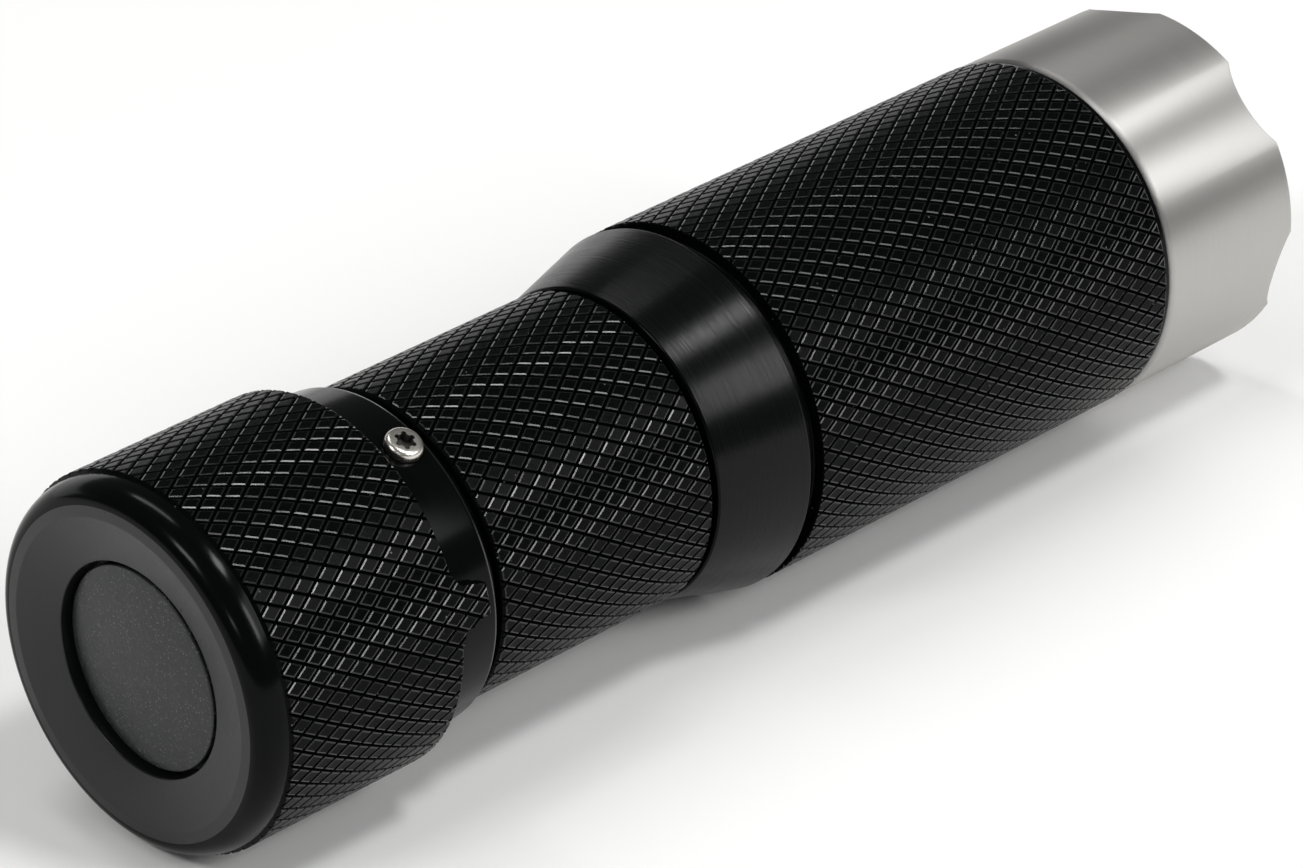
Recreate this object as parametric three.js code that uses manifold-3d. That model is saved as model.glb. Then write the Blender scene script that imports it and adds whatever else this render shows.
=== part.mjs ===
// Pocket flashlight with a turning tail control, laid on its side.
// Millimetres. The beam points along +X and +Z is up; the origin is under the middle of the body.
// A station is a distance along the beam axis from the flat tail face.
// An angle about the axis is counted from straight up towards -Y.

import * as THREE from 'three';
import { mergeVertices } from 'three/addons/utils/BufferGeometryUtils.js';
import Module from 'manifold-3d';

const wasm = await Module();
wasm.setup();

// Clearances
const seatGap = 0.1; // between faces that are clamped together
const fitGap = 0.2; // round screwed, turning and plugged fits
const runGap = 0.3; // between pieces that move past each other

// Lithium cell
const cellRadius = 8.4;
const cellLength = 34.2; // over the positive nub
const wrapThickness = 0.25;
const nubRadius = 3;
const nubHeight = 1.2;
const gasketRadius = 5.2;
const gasketHeight = 0.5;

// Battery tube
const tubeWall = 2; // from the cell's bore to the knurled grip
const neckRise = 0.5; // smooth neck above the grip
const neckReach = 3.9; // length of neck that shows in front of the tail cap
const neckOverlap = 2.2; // length of neck under the cap's skirt
const neckEdge = 0.25;
const reliefWidth = 1.1; // undercut between the neck and the grip
const reliefDepth = 0.7;
const gripEdge = 0.25;
const journalStep = 1; // the tail cap turns on a journal this much smaller than the neck
const journalLand = 2.3; // plain journal in front of its seal
const threadWall = 1.2;
const threadLength = 8;
const tubeMouth = 0.4; // the cell lies this far inside the tube's front end
const boardLedge = 0.5;

// Tail cap with its pointer tongue
const skirtWall = 1.05;
const capWall = 1.6;
const capEdge = 0.15;
const tailEdgeWidth = 2.4; // flat tail face to the outside
const tailBevelWidth = 0.8;
const tailBevelDepth = 0.25;
const tailLean = 0.1; // fall of the face from the bevel to the outside
const tailRounding = 1.1;
const tongueReach = 2.45;
const tongueTipWidth = 1.95;
const tongueWaistWidth = 2.8;
const tongueRootWidth = 5;
const tongueWaist = 0.85; // distance of the waist from the cap's front edge
const tongueAngle = 77 * Math.PI / 180;

// Stop screw on the neck
const screwAngle = 25 * Math.PI / 180;
const screwSetback = 1.5; // from the neck's front edge
const screwHeadRadius = 1.25;
const screwHeadHeight = 0.9;
const screwHeadRounding = 0.45;
const screwShankRadius = 0.7;
const screwShankLength = 1.3;
const screwSeatDepth = 0.25; // flat seat sunk in the neck
const socketRadius = 0.72;
const socketDepth = 0.5;
const socketLobe = 0.2; // depth of the six flutes

// Snap ring and seal rings
const snapWidth = 1;
const snapDepth = 0.45; // into the journal, and into the cap
const snapSetback = 1.9; // from the tube's rear end
const snapSplit = 24 * Math.PI / 180;
const capSealSection = 1;
const capSealSpacing = 1.8; // from the snap ring to the middle of the seal
const headSealSection = 0.8;
const headSealSetback = 1.4; // from the joint at the head
const lensSealSection = 0.85;
const bezelSealSection = 0.8;

// Push button
const buttonHole = 6.95;
const buttonGap = 0.33;
const buttonTravel = 0.8;
const buttonInset = 0.1; // top of the dome inside the tail face
const domeRise = 0.32;
const buttonRounding = 0.5;
const flangeLip = 1.2;
const flangeThickness = 0.9;
const pinRadius = 2;
const buttonRetainerThickness = 1.4;

// Switch board at the tail
const switchSize = 5;
const switchHeight = 2;
const plungerRadius = 1.5;
const plungerSpare = 0.2; // standing out still when the button is pressed
const plungerSocket = 0.7; // length held in the switch when it is not pressed
const switchClearance = 1.6;
const boardRetainerThickness = 1.1;
const boardRetainerWidth = 1.2;
const tailBoardThickness = 1.2;
const sensorThickness = 0.9;
const sensorWidth = 2.6;
const sensorDepth = 1.5;
const magnetRadius = 1;
const magnetThickness = 0.9;
const springLength = 5.5;
const springBaseRadius = 6.2;
const springTipRadius = 3.2;
const springWire = 0.8;
const springTurns = 4;

// Head shell
const jointGap = 0.35; // open line between the tube and the head
const coneLength = 6.7;
const coneEdge = 0.25;
const grooveWidth = 1.15;
const grooveDepth = 0.9;
const headGripLength = 33.15;
const headEdge = 0.15;
const collarLength = 1;
const collarDrop = 0.15;
const headWall = 1.65;
const deckRelief = 0.4;
const deckThickness = 2;
const deckHole = 7.2;

// Driver and heat sink
const driverThickness = 1.2;
const driverRingThickness = 1.5;
const driverRingWidth = 1.6;
const driverBay = 7;
const inductorRadius = 3;
const inductorHeight = 3.6;
const inductorOffset = 3.5;
const chipThickness = 1.3;
const chipWidth = 4;
const chipDepth = 5;
const chipOffset = 3.6;
const capacitorThickness = 1.6;
const capacitorWidth = 2.4;
const capacitorDepth = 1.6;
const capacitorOffset = 3.8;
const contactRadius = 2;
const contactFlange = 3;
const contactFlangeThickness = 0.5;
const insulatorThickness = 1.2;
const wireRadius = 0.5;
const wireCircle = 6.3;
const wireStandOut = 0.4;

// Light engine
const ledBoardRadius = 8;
const ledBoardThickness = 1.5;
const ledSize = 3.5;
const ledHeight = 0.7;
const ledDomeRadius = 1.5;
const ledScrewHeadRadius = 1.3;
const ledScrewHeadHeight = 0.9;
const ledScrewRadius = 0.75;
const ledScrewLength = 4;
const centringThickness = 1.2;
const centringWidth = 1.4;
const reflectorDepth = 14;
const reflectorThroat = 3;
const reflectorWall = 0.8;
const reflectorFlange = 1.2;
const lensThickness = 1.8;
const lensEdge = 0.2;

// Steel bezel with scalloped rim
const bezelDrop = 0.08; // below the head's grip
const bezelLength = 12.8;
const bezelChamfer = 0.5;
const bezelShoulder = 1.2;
const bezelInsert = 5.3;
const insertWall = 0.9;
const mouthDepth = 3.4;
const lipThickness = 1;
const lipWidth = 1.3;
const rimWidth = 1.4;
const rimEdge = 0.25;
const scallopCount = 6;
const scallopAngle = 45 * Math.PI / 180;
const scallopWidth = 6.4;
const scallopDepth = 1.2;

// Facets
const bodySides = 36;
const sealSides = 28;
const innerSides = 24;
const smallSides = 16;
const roundingSteps = 3;
const plainEdge = 0.3; // an edge up to this size is one flat chamfer
const weldDistance = 1e-4;

// Radii that follow from the cell outwards
const boreRadius = cellRadius + runGap;
const tubeRadius = boreRadius + tubeWall;
const neckRadius = tubeRadius + neckRise;
const journalRadius = neckRadius - journalStep;
const threadRadius = boreRadius + threadWall;
const trayRadius = boreRadius + boardLedge;
const skirtBore = neckRadius + fitGap;
const bodyRadius = skirtBore + skirtWall;
const capBore = journalRadius + fitGap;
const mainBore = bodyRadius - headWall;
const bezelRadius = bodyRadius - bezelDrop;
const insertRadius = bezelRadius - bezelShoulder;
const pocketRadius = insertRadius - insertWall;
const lensRadius = pocketRadius - fitGap;
const lipRadius = pocketRadius - lipWidth;

// Stations at the tail
const flangeRear = capWall + seatGap;
const flangeFront = flangeRear + flangeThickness;
const buttonRetainerRear = flangeFront + buttonTravel + runGap;
const buttonRetainerFront = buttonRetainerRear + buttonRetainerThickness;
const tubeRear = buttonRetainerFront + runGap;
const boardRetainerRear = tubeRear + seatGap;
const tailBoardRear = boardRetainerRear + boardRetainerThickness + seatGap;
const tailBoardFront = tailBoardRear + tailBoardThickness;
const ledgeStation = tailBoardFront + seatGap;
const switchFront = tailBoardRear - seatGap;
const switchRear = switchFront - switchHeight;
const plungerTip = switchRear - buttonTravel - plungerSpare;
const snapRear = tubeRear + snapSetback;
const snapFront = snapRear + snapWidth;
const capSealStation = snapFront + capSealSpacing;
const capSealHalf = capSealSection / 2 + seatGap;
const neckRear = capSealStation + capSealHalf + journalLand;
const capLength = neckRear + neckOverlap;
const neckFront = capLength + neckReach;
const gripRear = neckFront + reliefWidth;
const screwStation = neckFront - screwSetback;

// Stations of the cell and of the joint with the head
const springRear = tailBoardFront + seatGap;
const cellBase = springRear + springLength + seatGap;
const cellTip = cellBase + cellLength;
const cellShoulder = cellTip - nubHeight;
const tubeFront = cellShoulder + tubeMouth;
const headRear = tubeFront - threadLength;
const gripFront = headRear - jointGap;

// Stations of the head
const coneFront = headRear + coneLength;
const headGripRear = coneFront + grooveWidth;
const headGripFront = headGripRear + headGripLength;
const headFront = headGripFront + collarLength;
const bezelRear = headFront + seatGap;
const overallLength = headFront + bezelLength;
const insertRear = bezelRear - bezelInsert;
const counterboreRear = insertRear - bezelSealSection - 2 * seatGap;
const lipFront = overallLength - mouthDepth;
const lipRear = lipFront - lipThickness;
const lensFront = lipRear - lensSealSection - 2 * seatGap;
const lensRear = lensFront - lensThickness;
const reflectorFront = lensRear - seatGap;
const reflectorRear = reflectorFront - reflectorDepth;
const centringRear = reflectorRear - seatGap - centringThickness;
const ledBoardFront = centringRear - seatGap;
const ledBoardRear = ledBoardFront - ledBoardThickness;
const sinkFront = ledBoardRear - seatGap;
const deckRear = tubeFront + deckRelief;
const deckFront = deckRear + deckThickness;
const driverRear = deckFront + seatGap;
const driverFront = driverRear + driverThickness;
const driverRingRear = driverFront + seatGap;
const sinkRear = driverRingRear + driverRingThickness + seatGap;
const bayFront = driverFront + driverBay;

// Finishes
const anodised = { color: 0x17191b, roughness: 0.45, metalness: 0.55 };
const steel = { color: 0xb9b6b0, roughness: 0.3, metalness: 1 };
const screwSteel = { color: 0xcfcbc4, roughness: 0.25, metalness: 1 };
const buttonRubber = { color: 0x2b2d2d, roughness: 0.85, metalness: 0 };
const sealRubber = { color: 0x141414, roughness: 0.7, metalness: 0 };
const aluminium = { color: 0xa9acae, roughness: 0.4, metalness: 1 };
const mirror = { color: 0xe4e6e8, roughness: 0.08, metalness: 1 };
const glass = { color: 0xe8f0f2, roughness: 0.03, metalness: 0, transparent: true, opacity: 0.3 };
const phosphor = { color: 0xe9c63f, roughness: 0.4, metalness: 0 };
const ceramic = { color: 0xe6e4da, roughness: 0.5, metalness: 0 };
const board = { color: 0x1f5130, roughness: 0.55, metalness: 0 };
const brass = { color: 0xc9a452, roughness: 0.35, metalness: 1 };
const blackPlastic = { color: 0x1d1d1f, roughness: 0.6, metalness: 0 };
const whitePlastic = { color: 0xd9d8d2, roughness: 0.6, metalness: 0 };
const redPlastic = { color: 0x9e1f1c, roughness: 0.5, metalness: 0 };
const wrapPlastic = { color: 0x5b6168, roughness: 0.45, metalness: 0 };
const ferrite = { color: 0x4a4540, roughness: 0.7, metalness: 0.2 };

// Merges shared vertices and drops the slivers that fall on the axis, which leaves a closed mesh
function welded(geometry) {
  geometry.deleteAttribute('normal');
  geometry.deleteAttribute('uv');
  const merged = mergeVertices(geometry, weldDistance);
  const corners = Array.from(merged.index.array);
  const kept = [];
  for (let i = 0; i < corners.length; i += 3) {
    const [a, b, c] = corners.slice(i, i + 3);
    if (a !== b && b !== c && c !== a) kept.push(a, b, c);
  }
  merged.setIndex(kept);
  merged.computeVertexNormals();
  return merged;
}

function toSolid(geometry) {
  const closed = welded(geometry.clone());
  return new wasm.Manifold(new wasm.Mesh({
    numProp: 3,
    vertProperties: new Float32Array(closed.attributes.position.array),
    triVerts: new Uint32Array(closed.index.array),
  }));
}

function toGeometry(body) {
  const mesh = body.getMesh();
  const geometry = new THREE.BufferGeometry();
  geometry.setAttribute('position', new THREE.BufferAttribute(mesh.vertProperties, 3));
  geometry.setIndex(new THREE.BufferAttribute(mesh.triVerts, 1));
  geometry.computeVertexNormals();
  return geometry;
}

function cut(geometry, cutters) {
  const whole = toSolid(geometry);
  return toGeometry(cutters.reduce((body, cutter) => body.subtract(toSolid(cutter)), whole));
}

// Corners [station, radius, rounding] as an outline; a rounding sets both its sides back
function outline(corners) {
  const points = corners.map(([station, radius]) => new THREE.Vector2(radius, station));
  // Two rounded corners share the side between them
  const room = (corner, neighbour) => {
    const side = points[corner].distanceTo(points[neighbour]);
    return corners[neighbour][2] ? 0.45 * side : 0.9 * side;
  };
  return corners.flatMap(([, , rounding = 0], i) => {
    if (rounding === 0) return [points[i].clone()];
    const before = (i + points.length - 1) % points.length;
    const after = (i + 1) % points.length;
    const setBack = Math.min(rounding, room(i, before), room(i, after));
    const towards = (other) => points[other].clone().sub(points[i]).setLength(setBack).add(points[i]);
    const steps = rounding > plainEdge ? roundingSteps : 1;
    return new THREE.QuadraticBezierCurve(towards(before), points[i], towards(after)).getPoints(steps);
  });
}

// A piece turned about the beam axis, with flats that touch the stated radii
function turned(corners, sides = bodySides) {
  const points = outline(corners);
  const isRing = corners[0][1] > 0;
  if (isRing) points.push(points[0].clone());
  if (THREE.ShapeUtils.area(points) < 0) points.reverse();
  const halfSide = Math.PI / sides;
  points.forEach((point) => point.setX(point.x / Math.cos(halfSide)));
  const geometry = new THREE.LatheGeometry(points, sides, halfSide);
  geometry.rotateZ(-Math.PI / 2);
  return welded(geometry);
}

function ring(inner, outer, rear, front, sides = innerSides) {
  return turned([[rear, inner], [rear, outer], [front, outer], [front, inner]], sides);
}

function disc(radius, rear, front, sides = innerSides) {
  return turned([[rear, 0], [rear, radius], [front, radius], [front, 0]], sides);
}

// A box from one station to the next, centred on a point beside the axis
function block(rear, front, width, height, y = 0, z = 0) {
  const geometry = new THREE.BoxGeometry(front - rear, width, height);
  geometry.translate((rear + front) / 2, y, z);
  return welded(geometry);
}

// A round bar along the beam, beside the axis
function bar(radius, rear, front, y, z) {
  const geometry = disc(radius, rear, front, smallSides);
  geometry.translate(0, y, z);
  return geometry;
}

// A round bar square to the axis, from one height above it to another, before it is swung round
function upright(radius, bottom, top, station) {
  const geometry = new THREE.CylinderGeometry(radius, radius, top - bottom, smallSides);
  geometry.rotateX(Math.PI / 2);
  geometry.translate(station, 0, (bottom + top) / 2);
  return geometry;
}

// A rubber ring of round section about the axis
function seal(radius, section, station) {
  const sides = 6;
  const corners = [];
  for (let i = 0; i < sides; i += 1) {
    const angle = 2 * Math.PI * i / sides;
    corners.push([station + section / 2 * Math.cos(angle), radius + section / 2 * Math.sin(angle)]);
  }
  return turned(corners, sealSides);
}

function piece(name, geometry, finish) {
  const mesh = new THREE.Mesh(geometry, new THREE.MeshStandardMaterial(finish));
  mesh.name = name;
  return mesh;
}

// Grooves of the seals on the tube
const capSealGroove = capBore - capSealSection - 2 * seatGap;
const headThreadBore = threadRadius + fitGap;
const headSealStation = headRear + headSealSetback;
const headSealGroove = headThreadBore - headSealSection - 2 * seatGap;
const headSealHalf = headSealSection / 2 + seatGap;

// Tail cap: a turned cup whose skirt runs out into one forward tongue
function tailCap() {
  const flatRadius = bodyRadius - tailEdgeWidth;
  const flangeCavity = buttonHole + flangeLip + runGap;
  const grooveRadius = capBore + snapDepth;
  const retainerSeat = buttonRetainerRear - seatGap;
  const skirtStep = neckRear - runGap;
  const cup = turned([
    [0, buttonHole, capEdge],
    [0, flatRadius],
    [tailBevelDepth, flatRadius + tailBevelWidth],
    [tailBevelDepth + tailLean, bodyRadius, tailRounding],
    [capLength, bodyRadius, capEdge],
    [capLength, skirtBore],
    [skirtStep, skirtBore],
    [skirtStep, capBore],
    [snapFront + seatGap, capBore],
    [snapFront + seatGap, grooveRadius],
    [snapRear - seatGap, grooveRadius],
    [snapRear - seatGap, capBore],
    [retainerSeat, capBore],
    [retainerSeat, flangeCavity],
    [capWall, flangeCavity],
    [capWall, buttonHole],
  ]);
  const tip = capLength + tongueReach;
  const waist = capLength + tongueWaist;
  const root = capLength - skirtWall / 2;
  const face = new THREE.Shape();
  face.moveTo(root, -tongueRootWidth / 2);
  face.lineTo(capLength, -tongueRootWidth / 2);
  face.quadraticCurveTo(capLength, -tongueWaistWidth / 2, waist, -tongueWaistWidth / 2);
  face.lineTo(tip, -tongueTipWidth / 2);
  face.lineTo(tip, tongueTipWidth / 2);
  face.lineTo(waist, tongueWaistWidth / 2);
  face.quadraticCurveTo(capLength, tongueWaistWidth / 2, capLength, tongueRootWidth / 2);
  face.lineTo(root, tongueRootWidth / 2);
  face.closePath();
  const prism = new THREE.ExtrudeGeometry(face, {
    depth: bodyRadius + skirtWall,
    bevelEnabled: false,
    curveSegments: 4,
  });
  prism.rotateX(tongueAngle);
  const skirt = ring(skirtBore, bodyRadius, root, tip, bodySides);
  const tongue = toSolid(skirt).intersect(toSolid(prism));
  return toGeometry(toSolid(cup).add(tongue));
}

// Button: a shallow dome with a rounded rim, a flange behind the cap's wall and a pin for the switch
function pushButton() {
  const radius = buttonHole - buttonGap;
  const domeShares = [0, 0.3, 0.6, 0.85];
  const dome = domeShares.map((share) => [buttonInset + domeRise * share * share, radius * share]);
  return turned([
    ...dome,
    [buttonInset + domeRise, radius, buttonRounding],
    [flangeRear, radius],
    [flangeRear, buttonHole + flangeLip],
    [flangeFront, buttonHole + flangeLip],
    [flangeFront, pinRadius],
    [plungerTip - seatGap, pinRadius],
    [plungerTip - seatGap, 0],
  ]);
}

const retainerBore = switchSize / Math.SQRT2 + switchClearance;
const boardRetainerBore = trayRadius - fitGap - boardRetainerWidth;
const sensorReach = Math.sqrt((boardRetainerBore - runGap) ** 2 - (sensorWidth / 2) ** 2);
const magnetCircle = sensorReach - sensorDepth / 2;
const magnetRear = buttonRetainerFront - magnetThickness;

function buttonRetainer() {
  const plate = ring(retainerBore, capBore - fitGap, buttonRetainerRear, buttonRetainerFront);
  const pocketRear = magnetRear - seatGap;
  const pocketFront = buttonRetainerFront + runGap;
  const pocket = bar(magnetRadius + seatGap, pocketRear, pocketFront, 0, magnetCircle);
  pocket.rotateX(tongueAngle);
  return cut(plate, [pocket]);
}

function dialMagnet() {
  const magnet = bar(magnetRadius, magnetRear, buttonRetainerFront, 0, magnetCircle);
  magnet.rotateX(tongueAngle);
  return magnet;
}

// Battery tube: journal for the cap, smooth neck with the stop screw's seat, grip and thread
const screwSeat = neckRadius - screwSeatDepth;

function batteryTube() {
  const snapGroove = journalRadius - snapDepth;
  const barrel = turned([
    [tubeRear, trayRadius],
    [tubeRear, journalRadius, gripEdge],
    [snapRear - seatGap, journalRadius],
    [snapRear - seatGap, snapGroove],
    [snapFront + seatGap, snapGroove],
    [snapFront + seatGap, journalRadius],
    [capSealStation - capSealHalf, journalRadius],
    [capSealStation - capSealHalf, capSealGroove],
    [capSealStation + capSealHalf, capSealGroove],
    [capSealStation + capSealHalf, journalRadius],
    [neckRear, journalRadius],
    [neckRear, neckRadius],
    [neckFront, neckRadius, neckEdge],
    [neckFront, tubeRadius - reliefDepth],
    [gripRear, tubeRadius - reliefDepth],
    [gripRear, tubeRadius, gripEdge],
    [gripFront, tubeRadius, gripEdge],
    [gripFront, threadRadius],
    [headSealStation - headSealHalf, threadRadius],
    [headSealStation - headSealHalf, headSealGroove],
    [headSealStation + headSealHalf, headSealGroove],
    [headSealStation + headSealHalf, threadRadius],
    [tubeFront, threadRadius, gripEdge],
    [tubeFront, boreRadius],
    [ledgeStation, boreRadius],
    [ledgeStation, trayRadius],
  ]);
  const shankBottom = screwSeat - screwShankLength - fitGap;
  const seat = upright(screwHeadRadius + fitGap, screwSeat, bodyRadius, screwStation);
  const hole = upright(screwShankRadius + fitGap, shankBottom, bodyRadius, screwStation);
  seat.rotateX(screwAngle);
  hole.rotateX(screwAngle);
  return cut(barrel, [seat, hole]);
}

// Stop screw: rounded pan head with a six-lobed socket, made upright on its own axis
function stopScrew() {
  const body = turned([
    [-screwShankLength, 0],
    [-screwShankLength, screwShankRadius],
    [seatGap, screwShankRadius],
    [seatGap, screwHeadRadius],
    [screwHeadHeight, screwHeadRadius, screwHeadRounding],
    [screwHeadHeight, 0],
  ], smallSides);
  const lobes = new THREE.Shape();
  const lobePoints = 24;
  for (let i = 0; i < lobePoints; i += 1) {
    const angle = 2 * Math.PI * i / lobePoints;
    const radius = socketRadius - socketLobe * (1 - Math.cos(6 * angle)) / 2;
    const place = [radius * Math.cos(angle), radius * Math.sin(angle)];
    if (i === 0) lobes.moveTo(...place);
    else lobes.lineTo(...place);
  }
  lobes.closePath();
  const socket = new THREE.ExtrudeGeometry(lobes, { depth: socketDepth + runGap, bevelEnabled: false });
  socket.rotateY(Math.PI / 2);
  socket.translate(screwHeadHeight - socketDepth, 0, 0);
  const screw = cut(body, [socket]);
  screw.rotateY(-Math.PI / 2);
  return screw;
}

// Snap ring: a split ring half in the journal's groove and half in the cap's
function snapRing() {
  const inner = journalRadius - snapDepth + seatGap;
  const outer = capBore + snapDepth - seatGap;
  const start = snapSplit / 2;
  const end = 2 * Math.PI - snapSplit / 2;
  const band = new THREE.Shape();
  band.absarc(0, 0, outer, start, end, false);
  band.absarc(0, 0, inner, end, start, true);
  band.closePath();
  const geometry = new THREE.ExtrudeGeometry(band, {
    depth: snapWidth,
    bevelEnabled: false,
    curveSegments: smallSides,
  });
  geometry.rotateY(Math.PI / 2);
  geometry.translate(snapRear, 0, 0);
  return welded(geometry);
}

function switchHousing() {
  const box = block(switchRear, switchFront, switchSize, switchSize);
  const wellFront = switchRear + plungerSocket + buttonTravel + fitGap;
  const well = disc(plungerRadius + fitGap, switchRear - runGap, wellFront, smallSides);
  return cut(box, [well]);
}

// Tail spring: a cone of round wire, wide on the board and narrow under the cell
class ConeHelix extends THREE.Curve {
  getPoint(t) {
    const radius = THREE.MathUtils.lerp(springBaseRadius, springTipRadius, t);
    const angle = 2 * Math.PI * springTurns * t;
    const rise = (springLength - springWire) * t;
    const station = springRear + springWire / 2 + rise;
    return new THREE.Vector3(station, radius * Math.cos(angle), radius * Math.sin(angle));
  }
}

function tailSpring() {
  const section = new THREE.Shape();
  section.absarc(0, 0, springWire / 2, 0, 2 * Math.PI, false);
  const geometry = new THREE.ExtrudeGeometry(section, {
    steps: springTurns * 14,
    curveSegments: 3,
    extrudePath: new ConeHelix(),
  });
  return welded(geometry);
}

// Head shell: cone, dark groove, long grip and a plain collar, bored for the light engine
function headShell() {
  const insertBore = insertRadius + fitGap;
  return turned([
    [headRear, headThreadBore],
    [headRear, tubeRadius, headEdge],
    [coneFront, bodyRadius, coneEdge],
    [coneFront, bodyRadius - grooveDepth],
    [headGripRear, bodyRadius - grooveDepth],
    [headGripRear, bodyRadius, headEdge],
    [headGripFront, bodyRadius, headEdge],
    [headGripFront, bodyRadius - collarDrop],
    [headFront, bodyRadius - collarDrop, headEdge],
    [headFront, insertBore],
    [counterboreRear, insertBore],
    [counterboreRear, mainBore],
    [deckFront, mainBore],
    [deckFront, deckHole],
    [deckRear, deckHole],
    [deckRear, headThreadBore],
  ]);
}

// Bezel: a turned sleeve whose rim is scalloped by round cuts across the wall
function strikeBezel() {
  const sleeve = turned([
    [insertRear, pocketRadius],
    [insertRear, insertRadius, bezelChamfer / 2],
    [bezelRear, insertRadius],
    [bezelRear, bezelRadius, bezelChamfer],
    [overallLength, bezelRadius, rimEdge],
    [overallLength, bezelRadius - rimWidth],
    [lipFront, lipRadius],
    [lipRear, lipRadius],
    [lipRear, pocketRadius],
  ]);
  const halfWidth = scallopWidth / 2;
  const cutRadius = (halfWidth * halfWidth + scallopDepth * scallopDepth) / (2 * scallopDepth);
  const cutStation = overallLength - scallopDepth + cutRadius;
  const cutters = [];
  for (let i = 0; i < scallopCount; i += 1) {
    const cutter = upright(cutRadius, lipRadius / 2, bodyRadius + rimWidth, cutStation);
    cutter.rotateX(scallopAngle + 2 * Math.PI * i / scallopCount);
    cutters.push(cutter);
  }
  return cut(sleeve, cutters);
}

// Reflector: a paraboloid that runs from the throat round the emitter to a flange under the lens
function reflector() {
  const mouth = lipRadius + seatGap;
  const steps = 7;
  const inside = [];
  for (let i = 0; i <= steps; i += 1) {
    const share = i / steps;
    const square = THREE.MathUtils.lerp(reflectorThroat ** 2, mouth ** 2, share * share);
    inside.push([reflectorRear + reflectorDepth * share * share, Math.sqrt(square)]);
  }
  const flangeStation = reflectorFront - reflectorFlange;
  const outside = inside
    .filter(([station]) => station < flangeStation)
    .map(([station, radius]) => [station, radius + reflectorWall]);
  const lastOutside = outside.at(-1)[1];
  return turned([
    ...outside,
    [flangeStation, Math.max(lastOutside, mouth)],
    [flangeStation, lensRadius],
    [reflectorFront, lensRadius],
    ...inside.reverse(),
  ], innerSides);
}

// Heat sink: a cup over the driver with a solid deck for the emitter board
const sinkRadius = mainBore - fitGap;
const wirePlaces = [[0, wireCircle], [0, -wireCircle]];
const ledScrewCircle = reflectorThroat + centringWidth + runGap + ledScrewHeadRadius;
const ledScrewPlaces = [[ledScrewCircle, 0], [-ledScrewCircle, 0]];

function heatSink() {
  const cavity = sinkRadius - driverRingWidth;
  const cup = turned([
    [bayFront, 0],
    [bayFront, cavity],
    [sinkRear, cavity],
    [sinkRear, sinkRadius],
    [sinkFront, sinkRadius, headEdge],
    [sinkFront, 0],
  ], innerSides);
  const wireHoles = wirePlaces.map(([y, z]) => (
    bar(wireRadius + fitGap, bayFront - runGap, sinkFront + runGap, y, z)
  ));
  const screwBottom = ledBoardFront - ledScrewLength;
  const screwHoles = ledScrewPlaces.map(([y, z]) => (
    bar(ledScrewRadius + fitGap, screwBottom - fitGap, sinkFront + runGap, y, z)
  ));
  return cut(cup, [...wireHoles, ...screwHoles]);
}

function ledBoard() {
  const plate = disc(ledBoardRadius, ledBoardRear, ledBoardFront);
  const holes = [
    ...wirePlaces.map((place) => [wireRadius, place]),
    ...ledScrewPlaces.map((place) => [ledScrewRadius, place]),
  ].map(([radius, [y, z]]) => bar(radius + fitGap, ledBoardRear - runGap, ledBoardFront + runGap, y, z));
  return cut(plate, holes);
}

function ledScrew([y, z]) {
  const screw = turned([
    [ledBoardFront - ledScrewLength, 0],
    [ledBoardFront - ledScrewLength, ledScrewRadius],
    [ledBoardFront + seatGap, ledScrewRadius],
    [ledBoardFront + seatGap, ledScrewHeadRadius],
    [ledBoardFront + ledScrewHeadHeight, ledScrewHeadRadius, headEdge],
    [ledBoardFront + ledScrewHeadHeight, 0],
  ], smallSides);
  screw.translate(0, y, z);
  return screw;
}

function ledDome() {
  const base = ledBoardFront + ledHeight + 2 * seatGap;
  const curve = new THREE.EllipseCurve(0, base, ledDomeRadius, ledDomeRadius, 0, Math.PI / 2);
  const arc = curve.getPoints(5).map((point) => [point.y, point.x]);
  arc.at(-1)[1] = 0;
  return turned([[base, 0], ...arc], smallSides);
}

function driverInductor() {
  const rear = driverFront + seatGap;
  const front = rear + inductorHeight;
  const waist = inductorRadius - wireRadius;
  const spool = turned([
    [rear, 0],
    [rear, inductorRadius],
    [rear + inductorHeight / 4, inductorRadius],
    [rear + inductorHeight / 4, waist],
    [front - inductorHeight / 4, waist],
    [front - inductorHeight / 4, inductorRadius],
    [front, inductorRadius],
    [front, 0],
  ], smallSides);
  spool.translate(0, inductorOffset, 0);
  return spool;
}

function headContact() {
  const front = driverRear - seatGap;
  const tip = cellTip + seatGap;
  return turned([
    [tip, 0],
    [tip, contactRadius, headEdge],
    [front - contactFlangeThickness, contactRadius],
    [front - contactFlangeThickness, contactFlange],
    [front, contactFlange],
    [front, 0],
  ], smallSides);
}

// A small part soldered on the front of the driver board
function driverPart(thickness, width, depth, y, z) {
  const rear = driverFront + seatGap;
  return block(rear, rear + thickness, width, depth, y, z);
}

const cellCanRadius = cellRadius - wrapThickness - seatGap;

function cellCan() {
  const front = cellShoulder - gasketHeight - seatGap;
  return turned([
    [cellBase, 0],
    [cellBase, cellCanRadius, wrapThickness],
    [front, cellCanRadius, wrapThickness],
    [front, 0],
  ], innerSides);
}

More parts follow.
